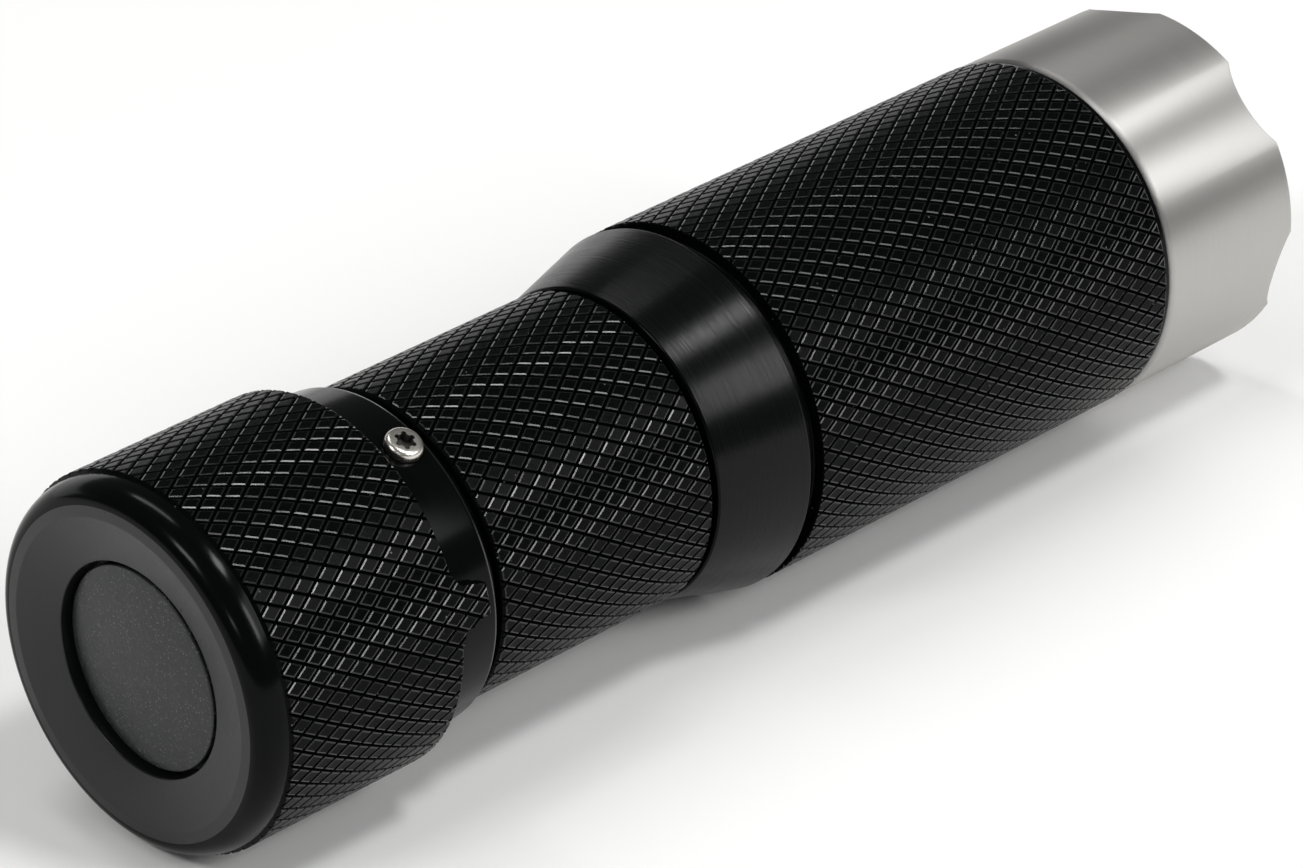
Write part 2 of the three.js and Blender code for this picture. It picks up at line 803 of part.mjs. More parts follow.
// The light engine, driver and bezel turn with the head when it is screwed off
const head = new THREE.Group();
head.add(
  piece('head_shell', headShell(), anodised),
  piece('strike_bezel', strikeBezel(), steel),
  piece('lens', turned([
    [lensRear, 0],
    [lensRear, lensRadius, lensEdge],
    [lensFront, lensRadius, lensEdge],
    [lensFront, 0],
  ], innerSides), glass),
  piece('lens_seal', seal(
    lensRadius - lensSealSection / 2 - seatGap,
    lensSealSection,
    (lensFront + lipRear) / 2,
  ), sealRubber),
  piece('bezel_seal', seal(
    insertRadius - bezelSealSection / 2,
    bezelSealSection,
    (counterboreRear + insertRear) / 2,
  ), sealRubber),
  piece('reflector', reflector(), mirror),
  piece('led_centring_ring', ring(
    ledSize / Math.SQRT2 + fitGap,
    reflectorThroat + centringWidth,
    centringRear,
    centringRear + centringThickness,
  ), whitePlastic),
  piece('led_package', block(
    ledBoardFront + seatGap,
    ledBoardFront + seatGap + ledHeight,
    ledSize,
    ledSize,
  ), ceramic),
  piece('led_dome', ledDome(), phosphor),
  piece('led_board', ledBoard(), ceramic),
  ...ledScrewPlaces.map((place, i) => piece(`led_board_screw_${i + 1}`, ledScrew(place), screwSteel)),
  piece('heat_sink', heatSink(), aluminium),
  ...wirePlaces.map(([y, z], i) => piece(
    `led_wire_${i + 1}`,
    bar(wireRadius, driverFront + seatGap, ledBoardFront + wireStandOut, y, z),
    i === 0 ? redPlastic : blackPlastic,
  )),
  piece('driver_board', disc(mainBore - fitGap, driverRear, driverFront), board),
  piece('driver_ring', ring(
    mainBore - fitGap - driverRingWidth,
    mainBore - fitGap,
    driverRingRear,
    driverRingRear + driverRingThickness,
  ), brass),
  piece('driver_inductor', driverInductor(), ferrite),
  piece('driver_chip', driverPart(chipThickness, chipWidth, chipDepth, -chipOffset, 0), blackPlastic),
  piece('driver_capacitor', driverPart(
    capacitorThickness,
    capacitorWidth,
    capacitorDepth,
    0,
    capacitorOffset,
  ), ceramic),
  piece('head_contact', headContact(), brass),
  piece('contact_insulator', ring(
    Math.max(contactFlange, nubRadius) + runGap,
    deckHole - fitGap,
    driverRear - seatGap - insulatorThickness,
    driverRear - seatGap,
  ), whitePlastic),
);

// The cell follows the head on the tail spring
const cell = new THREE.Group();
cell.add(
  piece('cell_can', cellCan(), steel),
  piece('cell_wrap', ring(
    cellRadius - wrapThickness,
    cellRadius,
    cellBase + wrapThickness,
    cellShoulder - gasketHeight - wrapThickness,
  ), wrapPlastic),
  piece('cell_gasket', ring(
    nubRadius + seatGap,
    gasketRadius,
    cellShoulder - gasketHeight,
    cellShoulder,
  ), blackPlastic),
  piece('cell_nub', disc(nubRadius, cellShoulder - gasketHeight, cellTip, smallSides), steel),
);

// The stop screw stands square to the neck at its own angle
const screwSwing = new THREE.Group();
screwSwing.rotation.x = screwAngle;
const screw = piece('stop_screw', stopScrew(), screwSteel);
screw.position.set(screwStation, 0, screwSeat);
screwSwing.add(screw);

const tube = new THREE.Group();
tube.add(
  piece('battery_tube', batteryTube(), anodised),
  screwSwing,
  piece('head_seal', seal(headSealGroove + headSealHalf, headSealSection, headSealStation), sealRubber),
  piece('cap_seal', seal(capSealGroove + capSealHalf, capSealSection, capSealStation), sealRubber),
  piece('cap_snap_ring', snapRing(), screwSteel),
  piece('tail_board', disc(trayRadius - fitGap, tailBoardRear, tailBoardFront), board),
  piece('tail_board_retainer', ring(
    boardRetainerBore,
    trayRadius - fitGap,
    boardRetainerRear,
    boardRetainerRear + boardRetainerThickness,
  ), brass),
  piece('switch_housing', switchHousing(), blackPlastic),
  piece('dial_sensor', block(
    tailBoardRear - seatGap - sensorThickness,
    tailBoardRear - seatGap,
    sensorWidth,
    sensorDepth,
    0,
    magnetCircle,
  ), blackPlastic),
  piece('tail_spring', tailSpring(), screwSteel),
);

const plunger = new THREE.Group();
plunger.add(piece(
  'switch_plunger',
  disc(plungerRadius, plungerTip, switchRear + plungerSocket, smallSides),
  redPlastic,
));

const cap = new THREE.Group();
cap.add(
  piece('tail_cap', tailCap(), anodised),
  piece('button', pushButton(), buttonRubber),
  piece('button_retainer', buttonRetainer(), blackPlastic),
  piece('dial_magnet', dialMagnet(), screwSteel),
);

const flashlight = new THREE.Group();
flashlight.position.set(-overallLength / 2, 0, bodyRadius);
flashlight.add(head, cell, tube, plunger, cap);

export default flashlight;
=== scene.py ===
import logging
import math
from dataclasses import dataclass
from enum import Enum
from typing import Any, Callable, Iterable, Sequence

import bmesh
import bpy
from mathutils import Matrix, Vector


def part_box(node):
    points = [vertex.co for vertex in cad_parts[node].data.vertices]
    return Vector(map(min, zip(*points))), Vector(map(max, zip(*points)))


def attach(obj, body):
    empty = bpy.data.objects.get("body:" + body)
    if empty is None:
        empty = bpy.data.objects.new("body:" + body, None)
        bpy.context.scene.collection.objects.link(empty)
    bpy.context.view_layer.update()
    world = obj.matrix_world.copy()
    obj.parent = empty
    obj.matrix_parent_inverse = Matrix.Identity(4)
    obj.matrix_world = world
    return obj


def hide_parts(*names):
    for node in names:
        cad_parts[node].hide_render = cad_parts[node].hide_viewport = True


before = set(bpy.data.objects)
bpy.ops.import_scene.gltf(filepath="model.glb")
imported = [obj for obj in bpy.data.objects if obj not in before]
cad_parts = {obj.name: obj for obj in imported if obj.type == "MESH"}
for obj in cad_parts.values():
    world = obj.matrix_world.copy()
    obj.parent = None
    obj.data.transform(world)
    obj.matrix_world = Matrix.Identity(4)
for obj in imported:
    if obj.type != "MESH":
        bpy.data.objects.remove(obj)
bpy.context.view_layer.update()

MM = 0.001

# Points of a mesh that lie closer than a micrometre are one point
WELD = MM * 1e-3

# Straight steps in each rounded corner of an outline
ARC_STEPS = 6

log = logging.getLogger("flashlight")


# Modelling


class Cut(Enum):
    """The ways in which one solid is worked by another."""

    JOIN = "UNION"
    CUT = "DIFFERENCE"
    KEEP_COMMON = "INTERSECT"


class MeshPart(Enum):
    """The kinds of part that are selected in a mesh, each with the name of the list that holds them."""

    VERT = "verts"
    EDGE = "edges"


@dataclass(frozen=True)
class Corner:
    """A corner of a turned outline: station, radius and the reach of its rounding, in millimetres."""

    station: float
    radius: float
    rounding: float = 0.0


def about(place: Vector, turn: Matrix) -> Matrix:
    """Returns a turn about a place instead of about the frame's origin."""
    home = Matrix.Translation(place)
    return home @ turn @ home.inverted()


@dataclass(frozen=True)
class BeamAxis:
    """The line that the turned pieces share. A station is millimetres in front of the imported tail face."""

    tail_x: float
    height: float

    def point(self, station: float, radius: float = 0.0, angle: float = 0.0) -> Vector:
        """Finds a place in the frame.

        Args:
            station: Millimetres in front of the tail face.
            radius: Millimetres from the axis.
            angle: Radians about the axis, from straight up towards -Y.

        Returns:
            The point in metres.
        """
        across = -radius * math.sin(angle)
        up = radius * math.cos(angle)
        return Vector((self.tail_x + station * MM, across * MM, self.height + up * MM))

    def swing(self, angle: float) -> Matrix:
        """Returns the turn about the axis that takes what stands straight up towards -Y."""
        return about(Vector((0.0, 0.0, self.height)), Matrix.Rotation(angle, 4, "X"))

    def measure(self, place: Vector) -> tuple[float, float]:
        """Returns the station and the radius of a place, in millimetres."""
        return (place.x - self.tail_x) / MM, math.hypot(place.y, place.z - self.height) / MM

    def outwards(self, place: Vector) -> Vector:
        """Returns the direction from the axis straight out to a place."""
        return Vector((0.0, place.y, place.z - self.height)).normalized()

    def turn(self, place: Vector) -> float:
        """Returns the angle of a place about the axis, from straight up towards -Y."""
        return math.atan2(-place.y, place.z - self.height)

    @classmethod
    def of_frame(cls) -> "BeamAxis":
        """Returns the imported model's axis, through the middle of the tail cap."""
        low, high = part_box("tail_cap")
        return cls(tail_x=low[0], height=(low[2] + high[2]) / 2)


AXIS = BeamAxis.of_frame()


def quarter_turn(steps: int) -> list[float]:
    """Returns the angles that divide a right angle into even steps, both ends included."""
    return [math.pi / 2 * step / steps for step in range(steps + 1)]


def rounded(corners: Sequence[Corner], closed: bool) -> list[tuple[float, float]]:
    """Works out an outline whose corners are rounded by arcs that touch both their sides.

    Args:
        corners: The sharp corners with their roundings.
        closed: Whether the last corner runs back to the first.

    Returns:
        The outline as (station, radius) pairs in millimetres.
    """
    sharp = [Vector((corner.station, corner.radius)) for corner in corners]
    outline: list[tuple[float, float]] = []
    for index, corner in enumerate(corners):
        here = sharp[index]
        at_end = not closed and index in (0, len(corners) - 1)
        if corner.rounding == 0.0 or at_end:
            outline.append((here.x, here.y))
            continue
        before = (sharp[index - 1] - here).normalized()
        after = (sharp[(index + 1) % len(sharp)] - here).normalized()
        half_opening = before.angle(after) / 2
        arc_radius = corner.rounding * math.tan(half_opening)
        centre = here + (before + after).normalized() * corner.rounding / math.cos(half_opening)
        first = here + before * corner.rounding - centre
        sweep = first.angle_signed(here + after * corner.rounding - centre)
        for step in range(ARC_STEPS + 1):
            spoke = Matrix.Rotation(-sweep * step / ARC_STEPS, 2) @ first
            spoke.length = arc_radius
            outline.append((centre.x + spoke.x, centre.y + spoke.y))
    return outline


class Workshop:
    """Modelling moves by Blender's own operators, for pieces that lie along the beam axis."""

    def __init__(self, axis: BeamAxis) -> None:
        """Keeps the axis that the pieces are turned about."""
        self.axis = axis

    @staticmethod
    def lay_down_all() -> None:
        """Leaves edit mode and selects nothing."""
        if bpy.context.object and bpy.context.object.mode != "OBJECT":
            bpy.ops.object.mode_set(mode="OBJECT")
        bpy.ops.object.select_all(action="DESELECT")

    def take_up(self, piece: bpy.types.Object) -> None:
        """Makes one piece the only selected and the active one.

        Args:
            piece: The piece.
        """
        self.lay_down_all()
        piece.select_set(True)
        bpy.context.view_layer.objects.active = piece

    def open_up(self, piece: bpy.types.Object, kind: MeshPart) -> None:
        """Takes one piece up in edit mode.

        Args:
            piece: The piece.
            kind: What is selected in it.
        """
        self.take_up(piece)
        bpy.ops.object.mode_set(mode="EDIT")
        bpy.ops.mesh.select_mode(type=kind.name)

    def close_up(self) -> None:
        """Turns all faces of the solid in edit mode outwards and lays it down."""
        bpy.ops.mesh.select_all(action="SELECT")
        bpy.ops.mesh.normals_make_consistent(inside=False)
        self.lay_down_all()

    def settle(self, piece: bpy.types.Object, turn: Matrix | None = None) -> None:
        """Puts a piece's place into its mesh.

        Args:
            piece: The piece.
            turn: A move that it makes first.
        """
        self.take_up(piece)
        if turn is not None:
            piece.matrix_world = turn @ piece.matrix_world
        bpy.ops.object.transform_apply(location=True, rotation=True, scale=True)

    def wire(self, name: str, points: Sequence[Vector], closed: bool) -> bpy.types.Object:
        """Draws a line through points, by extruding one vertex on from each to the next.

        Args:
            name: The name of the new object.
            points: Places in metres.
            closed: Whether the line runs back to its start.

        Returns:
            The object, in edit mode, with its whole line selected.
        """
        self.lay_down_all()
        bpy.ops.mesh.primitive_plane_add(size=MM, location=points[0])
        piece = bpy.context.object
        piece.name = name
        self.settle(piece)
        self.open_up(piece, MeshPart.VERT)
        bpy.ops.mesh.select_all(action="SELECT")
        # A plane drawn together at its middle is the first vertex
        bpy.ops.mesh.merge(type="CENTER")
        for here, there in zip(points, points[1:]):
            bpy.ops.mesh.extrude_vertices_move(TRANSFORM_OT_translate={"value": there - here})
        if closed:
            mesh = bmesh.from_edit_mesh(piece.data)
            ends = [vertex for vertex in mesh.verts if len(vertex.link_edges) == 1]
            for vertex in mesh.verts:
                vertex.select_set(vertex in ends)
            mesh.select_flush(True)
            bpy.ops.mesh.edge_face_add()
        bpy.ops.mesh.select_all(action="SELECT")
        return piece

    def turned(self, name: str, corners: Sequence[Corner], steps: int = 192) -> bpy.types.Object:
        """Turns a closed solid about the axis.

        Args:
            name: The name of the new piece.
            corners: The outline; it starts and ends on the axis, or closes on itself.
            steps: Facets round the axis.

        Returns:
            The piece.
        """
        is_ring = corners[0].radius > 0.0
        outline = rounded(corners, is_ring)
        points = [self.axis.point(station, radius) for station, radius in outline]
        piece = self.wire(name, points, is_ring)
        bpy.ops.mesh.spin(steps=steps, angle=2 * math.pi, center=self.axis.point(0.0), axis=(1.0, 0.0, 0.0))
        bpy.ops.mesh.select_all(action="SELECT")
        bpy.ops.mesh.remove_doubles(threshold=WELD)
        self.close_up()
        return piece

    def prism(self, name: str, flat: Sequence[tuple[float, float]], top: float) -> bpy.types.Object:
        """Raises a closed solid from a flat outline that lies level with the axis.

        Args:
            name: The name of the new piece.
            flat: The outline as (station, distance towards +Y) in millimetres.
            top: Height above the axis in millimetres.

        Returns:
            The piece.
        """
        points = [self.axis.point(station) + Vector((0.0, across * MM, 0.0)) for station, across in flat]
        piece = self.wire(name, points, True)
        bpy.ops.mesh.edge_face_add()
        bpy.ops.mesh.extrude_region_move(TRANSFORM_OT_translate={"value": (0.0, 0.0, top * MM)})
        self.close_up()
        return piece

    def upright(
        self, radius: float, bottom: float, top: float, station: float, sides: int
    ) -> bpy.types.Object:
        """Stands a round bar square to the axis, to be cut with.

        Args:
            radius: Millimetres.
            bottom: Lower end, in millimetres above the axis.
            top: Upper end, in millimetres above the axis.
            station: Millimetres in front of the tail face.
            sides: Facets round the bar.

        Returns:
            The bar.
        """
        self.lay_down_all()
        bpy.ops.mesh.primitive_cylinder_add(
            vertices=sides,
            radius=radius * MM,
            depth=(top - bottom) * MM,
            location=self.axis.point(station, (bottom + top) / 2),
        )
        bar = bpy.context.object
        self.settle(bar)
        return bar

    def work(self, piece: bpy.types.Object, tool: bpy.types.Object, how: Cut) -> None:
        """Joins, cuts or clips a piece by a tool, which is used up.

        Args:
            piece: The piece that stays.
            tool: The solid that works it.
            how: What the tool does.
        """
        self.take_up(piece)
        change = piece.modifiers.new("work", "BOOLEAN")
        change.operation = how.value
        change.object = tool
        change.solver = "MANIFOLD"
        bpy.ops.object.modifier_apply(modifier=change.name)
        bpy.data.objects.remove(tool)

    def shade(self, piece: bpy.types.Object, angle: float = 28.0) -> None:
        """Smooths the shading across edges that bend less than an angle in degrees."""
        self.take_up(piece)
        bpy.ops.object.shade_smooth_by_angle(angle=math.radians(angle))


def choose(piece: bpy.types.Object, kind: MeshPart, wanted: Callable[[Any], bool]) -> None:
    """Selects, in edit mode, the parts of a mesh that a test accepts and no others.

    Args:
        piece: The piece in edit mode.
        kind: What is selected.
        wanted: The test of one such part.
    """
    bpy.ops.mesh.select_all(action="DESELECT")
    mesh = bmesh.from_edit_mesh(piece.data)
    mesh.verts.index_update()
    for part in getattr(mesh, kind.value):
        if wanted(part):
            part.select_set(True)
    bmesh.update_edit_mesh(piece.data)


def axial_run(edge: bmesh.types.BMEdge) -> float:
    """Returns how far an edge runs along the beam axis, in metres."""
    return abs(edge.verts[0].co.x - edge.verts[1].co.x)


@dataclass(frozen=True)
class Knurl:
    """A cut knurl, in millimetres: flat-topped diamonds between two crossing families of V grooves."""

    diamond_width: float = 1.2
    diamond_length: float = 1.97
    groove_depth: float = 0.17
    flank: float = 0.1
    edge: float = 0.085
    edge_depth: float = 0.0355
    edge_spread: float = math.radians(8.0)
    overhang: float = 20.0
    spare: float = 0.6
    end_reach: float = 0.1
    clearance: float = 0.02

    def root(self, crest: float) -> float:
        """Returns the radius at the bottom of the grooves for a radius over the diamonds."""
        return crest - self.groove_depth - self.edge_depth

    def outside(self, crest: float) -> float:
        """Returns a radius just over the diamonds, for an outline that leaves their tops whole."""
        return crest + self.clearance

    def rub_edges(self, piece: bpy.types.Object, crest: float) -> None:
        """Gives the narrow faces that lean over the diamonds' edges a rubbed finish.

        Args:
            piece: The knurled piece, already dressed.
            crest: Radius over the diamonds.
        """
        lean = math.atan2(self.edge_depth, self.edge)

        def is_edge(face: bpy.types.MeshPolygon) -> bool:
            """Tells the narrow faces from the tops and the flanks.

            Args:
                face: A face of the piece.

            Returns:
                Whether it lies at the crest and leans as the edges do.
            """
            radius = AXIS.measure(face.center)[1]
            turned = face.normal.angle(AXIS.outwards(face.center))
            return radius > crest - 2 * self.edge_depth and abs(turned - lean) < self.edge_spread

        dress_faces(piece, RUBBED_EDGE, is_edge)

    def blank(self, workshop: Workshop, crest: float, rear: float, front: float) -> bpy.types.Object:
        """Makes a bar that is knurled between two stations, and plain and thicker beyond them.

        Args:
            workshop: Where it is made.
            crest: Radius over the diamonds.
            rear: Station where the knurl starts.
            front: Station where it ends.

        Returns:
            The closed bar, longer at both ends by the overhang.
        """
        length = front - rear
        workshop.lay_down_all()
        bpy.ops.mesh.primitive_cylinder_add(
            vertices=round(2 * math.pi * crest / self.diamond_width),
            radius=self.root(crest) * MM,
            depth=length * MM,
            end_fill_type="NOTHING",
            location=workshop.axis.point((rear + front) / 2),
            rotation=(0.0, math.pi / 2, 0.0),
        )
        bar = bpy.context.object
        workshop.settle(bar)
        workshop.open_up(bar, MeshPart.EDGE)
        choose(bar, MeshPart.EDGE, lambda edge: axial_run(edge) > length * MM / 2)
        bpy.ops.mesh.subdivide(number_cuts=round(length / self.diamond_length) - 1)
        self._cross_grooves(bar)
        bpy.ops.mesh.select_all(action="SELECT")
        bpy.ops.mesh.inset(thickness=self.flank * MM, depth=self.groove_depth * MM, use_individual=True)
        bpy.ops.mesh.inset(thickness=self.edge * MM, depth=self.edge_depth * MM, use_individual=True)
        flare = (crest + self.spare) / self.root(crest)
        for station, way in ((rear, -1.0), (front, 1.0)):
            self._close_end(bar, workshop.axis.point(station), way, flare)
        workshop.close_up()
        return bar

    @staticmethod
    def _cross_grooves(bar: bpy.types.Object) -> None:
        """Turns the bar's grid of oblongs into diamonds, by poking each one and dissolving the grid.

        Args:
            bar: The bar, in edit mode.
        """
        grid_count = len(bmesh.from_edit_mesh(bar.data).verts)
        bpy.ops.mesh.select_all(action="SELECT")
        bpy.ops.mesh.poke()
        choose(bar, MeshPart.EDGE, lambda edge: (
            not edge.is_boundary and all(vertex.index < grid_count for vertex in edge.verts)
        ))
        bpy.ops.mesh.dissolve_edges(use_verts=False)

    def _close_end(self, bar: bpy.types.Object, end: Vector, way: float, flare: float) -> None:
        """Flares the bar's open end, draws it out along the axis and closes it.

        Args:
            bar: The bar, in edit mode.
            end: The middle of the open end.
            way: 1 towards the front, -1 towards the rear.
            flare: How many times wider the plain stretch is.
        """
        choose(bar, MeshPart.EDGE, lambda edge: (
            edge.is_boundary and abs(edge.verts[0].co.x - end.x) < self.end_reach * MM
        ))
        bpy.ops.mesh.extrude_region()
        bpy.ops.transform.resize(value=(1.0, flare, flare), center_override=end)
        reach = (way * self.overhang * MM, 0.0, 0.0)
        bpy.ops.mesh.extrude_region_move(TRANSFORM_OT_translate={"value": reach})
        bpy.ops.mesh.edge_face_add()


# Finishes


Colour = tuple[float, float, float, float]


def linear(code: str) -> Colour:
    """Turns an sRGB colour into linear light, by the curve of the sRGB standard.

    Args:
        code: The colour in hex, such as "#1a1b1c".

    Returns:
        Red, green, blue and full alpha.
    """
    shares = [int(code[place:place + 2], 16) / 255 for place in (1, 3, 5)]
    light = [share / 12.92 if share <= 0.04045 else ((share + 0.055) / 1.055) ** 2.4 for share in shares]
    return light[0], light[1], light[2], 1.0


def feed(tree: bpy.types.NodeTree, node: bpy.types.Node, inputs: dict[str | int, Any]) -> None:
    """Sets or links the inputs of a node.

    Args:
        tree: The node tree.
        node: The node.
        inputs: Values and output sockets, by the name or number of the input that takes them.
    """
    for name, value in inputs.items():
        if isinstance(value, bpy.types.NodeSocket):
            tree.links.new(value, node.inputs[name])
        else:
            node.inputs[name].default_value = value


def add_node(
    tree: bpy.types.NodeTree,
    kind: str,
    inputs: dict[str | int, Any] | None = None,
    **settings: Any,
) -> bpy.types.Node:
    """Adds a node with its settings and links.

    Args:
        tree: The node tree.
        kind: Blender's name for the node type, without "ShaderNode".
        inputs: What is fed to it.
        settings: The node's own settings.

    Returns:
        The node.
    """
    node = tree.nodes.new(f"ShaderNode{kind}")
    for name, value in settings.items():
        setattr(node, name, value)
    feed(tree, node, inputs or {})
    return node


def mix_colours(
    tree: bpy.types.NodeTree,
    share: bpy.types.NodeSocket,
    first: Colour | bpy.types.NodeSocket,
    second: Colour | bpy.types.NodeSocket,
) -> bpy.types.NodeSocket:
    """Returns the colour that goes from the first to the second as the share goes from 0 to 1."""
    # A mix node has sockets of one name for each type of data, so those for colours go by number
    mix = add_node(tree, "Mix", {0: share, 6: first, 7: second}, data_type="RGBA")
    return mix.outputs[2]


# Share of a full turn between the marks round a turned face and the way in which they draw reflections out
ACROSS_THE_MARKS = 0.25

# How many grains wide the broadest patches of an even finish are
MOTTLE = 8.0

# Layers of noise that are finer than one grain of an even finish, and how much each adds to the one before
EVEN_FINER_LAYERS = 2.0
EVEN_LAYER_SHARE = 0.72

# Layers of noise in the lines of a turned finish, and how much each adds to the one before
TURNED_LAYERS = 3.0
TURNED_LAYER_SHARE = 0.6

# Rows in one unit of the brick pattern that draws a circuit board's tracks
BRICK_ROWS = 4.0


class Marks(Enum):
    """The way in which the grain of a surface lies."""

    EVEN = "the same in all directions"
    TURNED = "in lines round the beam axis"


@dataclass(frozen=True)
class Finish:
    """A surface finish: two colours that a grain mixes, and how the surface takes the light.

    The grain's width and its relief are in millimetres, and the spread is how far it swings the roughness.
    """

    name: str
    slot: str
    colour: str
    shade: str
    roughness: float
    metallic: float = 0.0
    ior: float = 1.5
    grain: float = 0.3
    relief: float = 0.003
    spread: float = 0.06
    marks: Marks = Marks.EVEN
    anisotropic: float = 0.0

    def material(self) -> bpy.types.Material:
        """Makes the material the first time that it is asked for.

        Returns:
            The material.
        """
        found = bpy.data.materials.get(self.name)
        if found:
            return found
        made = bpy.data.materials.new(self.name)
        made.use_nodes = True
        made.node_tree.nodes.clear()
        shader = add_node(made.node_tree, "BsdfPrincipled")
        add_node(made.node_tree, "OutputMaterial", {"Surface": shader.outputs["BSDF"]})
        self.paint(made.node_tree, shader)
        return made

    def paint(self, tree: bpy.types.NodeTree, shader: bpy.types.Node) -> None:
        """Sets the shader and adds the nodes that vary it.

        Args:
            tree: The material's node tree.
            shader: Its shader.
        """
        grain = self.grain_height(tree)
        colour = self.tint(tree, grain)
        rough = add_node(tree, "MapRange", {
            "Value": grain,
            "To Min": max(0.0, self.roughness - self.spread),
            "To Max": min(1.0, self.roughness + self.spread),
        })
        bump = add_node(tree, "Bump", {"Height": grain, "Distance": self.relief * MM, "Strength": 1.0})
        feed(tree, shader, {
            "Base Color": colour,
            "Metallic": self.metallic,
            "Roughness": rough.outputs["Result"],
            "IOR": self.ior,
            "Normal": bump.outputs["Normal"],
            "Anisotropic": self.anisotropic,
            "Anisotropic Rotation": ACROSS_THE_MARKS,
        })
        if self.anisotropic:
            tangent = add_node(tree, "Tangent", direction_type="RADIAL", axis="X")
            feed(tree, shader, {"Tangent": tangent.outputs["Tangent"]})

    def tint(self, tree: bpy.types.NodeTree, grain: bpy.types.NodeSocket) -> bpy.types.NodeSocket:
        """Returns the two colours, mixed by the grain's height from 0 to 1."""
        return mix_colours(tree, grain, linear(self.colour), linear(self.shade))

    def grain_height(self, tree: bpy.types.NodeTree) -> bpy.types.NodeSocket:
        """Draws the grain at its real size.

        Args:
            tree: The material's node tree.

        Returns:
            Its height, from 0 to 1.
        """
        where = add_node(tree, "TexCoord").outputs["Object"]
        scale = 1 / (MOTTLE * self.grain * MM)
        layers = math.log2(MOTTLE) + EVEN_FINER_LAYERS
        share = EVEN_LAYER_SHARE
        if self.marks is Marks.TURNED:
            where = self.unrolled(tree, where)
            scale = 1.0
            layers = TURNED_LAYERS
            share = TURNED_LAYER_SHARE
        noise = add_node(tree, "TexNoise", {
            "Vector": where,
            "Scale": scale,
            "Detail": layers,
            "Roughness": share,
        })
        return noise.outputs["Fac"]

    def unrolled(self, tree: bpy.types.NodeTree, where: bpy.types.NodeSocket) -> bpy.types.NodeSocket:
        """Unrolls the surface about the beam axis, so that a grain on it runs round in long lines.

        Args:
            tree: The material's node tree.
            where: Object coordinates.

        Returns:
            Coordinates that count grains along the axis, and arcs of about a radian round it.
        """
        centred = add_node(tree, "Mapping", {"Vector": where, "Location": (0.0, 0.0, -AXIS.height)})
        split = add_node(tree, "SeparateXYZ", {"Vector": centred.outputs["Vector"]})
        arc = add_node(tree, "Math", {0: split.outputs["Y"], 1: split.outputs["Z"]}, operation="ARCTAN2")
        along = add_node(tree, "Math", {0: split.outputs["X"], 1: self.grain * MM}, operation="DIVIDE")
        flat = add_node(tree, "CombineXYZ", {"X": along.outputs["Value"], "Y": arc.outputs["Value"]})
        return flat.outputs["Vector"]


@dataclass(frozen=True)
class Speckled(Finish):
    """A finish with fine pale specks, such as talc in rubber or dust on a knurl.

    The spacing is in millimetres. A speck reaches over its share of it, and fades over its outer half.
    """

    speck: str = "#6d706f"
    spacing: float = 0.4
    speck_share: float = 0.16
    strength: float = 0.5

    def tint(self, tree: bpy.types.NodeTree, grain: bpy.types.NodeSocket) -> bpy.types.NodeSocket:
        """Mixes the colours and lays the specks over them.

        Args:
            tree: The material's node tree.
            grain: The grain's height, from 0 to 1.

        Returns:
            The colour.
        """
        plain = super().tint(tree, grain)
        where = add_node(tree, "TexCoord").outputs["Object"]
        cells = add_node(tree, "TexVoronoi", {"Vector": where, "Scale": 1 / (self.spacing * MM)})
        dots = add_node(tree, "MapRange", {
            "Value": cells.outputs["Distance"],
            "From Min": self.speck_share,
            "From Max": self.speck_share / 2,
            "To Min": 0.0,
            "To Max": self.strength,
        })
        some = add_node(tree, "Math", {
            0: dots.outputs["Result"],
            1: cells.outputs["Color"],
        }, operation="MULTIPLY")
        return mix_colours(tree, some.outputs["Value"], plain, linear(self.speck))


@dataclass(frozen=True)
class Clear(Finish):
    """Glass or clear silicone."""

    def paint(self, tree: bpy.types.NodeTree, shader: bpy.types.Node) -> None:
        """Paints the surface, with a trace of dust in its gloss, and lets the light through."""
        super().paint(tree, shader)
        feed(tree, shader, {"Transmission Weight": 1.0})


@dataclass(frozen=True)
class Printed(Finish):
    """A circuit board's lacquer over copper tracks that show through it, with their pitch and width."""

    track_pitch: float = 0.8
    track_width: float = 0.128

    def tint(self, tree: bpy.types.NodeTree, grain: bpy.types.NodeSocket) -> bpy.types.NodeSocket:
        """Mixes the lacquer's colours and draws the tracks under it.

        Args:
            tree: The material's node tree.
            grain: The grain's height, from 0 to 1.

        Returns:
            The colour.
        """
        where = add_node(tree, "TexCoord").outputs["Object"]
        unit = BRICK_ROWS * self.track_pitch
        tracks = add_node(tree, "TexBrick", {
            "Vector": where,
            "Color1": linear(self.colour),
            "Color2": linear(self.colour),
            "Mortar": linear(self.shade),
            "Scale": 1 / (unit * MM),
            "Mortar Size": self.track_width / unit,
        })
        return mix_colours(tree, grain, tracks.outputs["Color"], linear(self.colour))


# Hard anodised aluminium, blasted first: an oxide skin dyed black, dark grey with a soft sheen.
# The grit's dents, about 0.03 mm wide, are drawn four times as wide to show
SATIN_BLACK = Finish(
    "satin_black_anodised", "black_anodised", "#0a0b0b", "#131515",
    roughness=0.3, ior=1.42, grain=0.12, relief=0.008, spread=0.1,
)
# The same skin on finely turned faces: near black, with clear reflections and faint rings
GLOSS_BLACK = Finish(
    "turned_black_anodised", "black_anodised", "#020303", "#060707",
    roughness=0.16, ior=1.18, grain=0.1, relief=0.001, marks=Marks.TURNED,
)
# The same skin on a brushed cone: strokes round the axis draw its highlights out into grey bands
BRUSHED_BLACK = Finish(
    "brushed_black_anodised", "black_anodised", "#030404", "#080909",
    roughness=0.25, ior=1.26, grain=0.07, relief=0.016, spread=0.16, marks=Marks.TURNED, anisotropic=0.7,
)
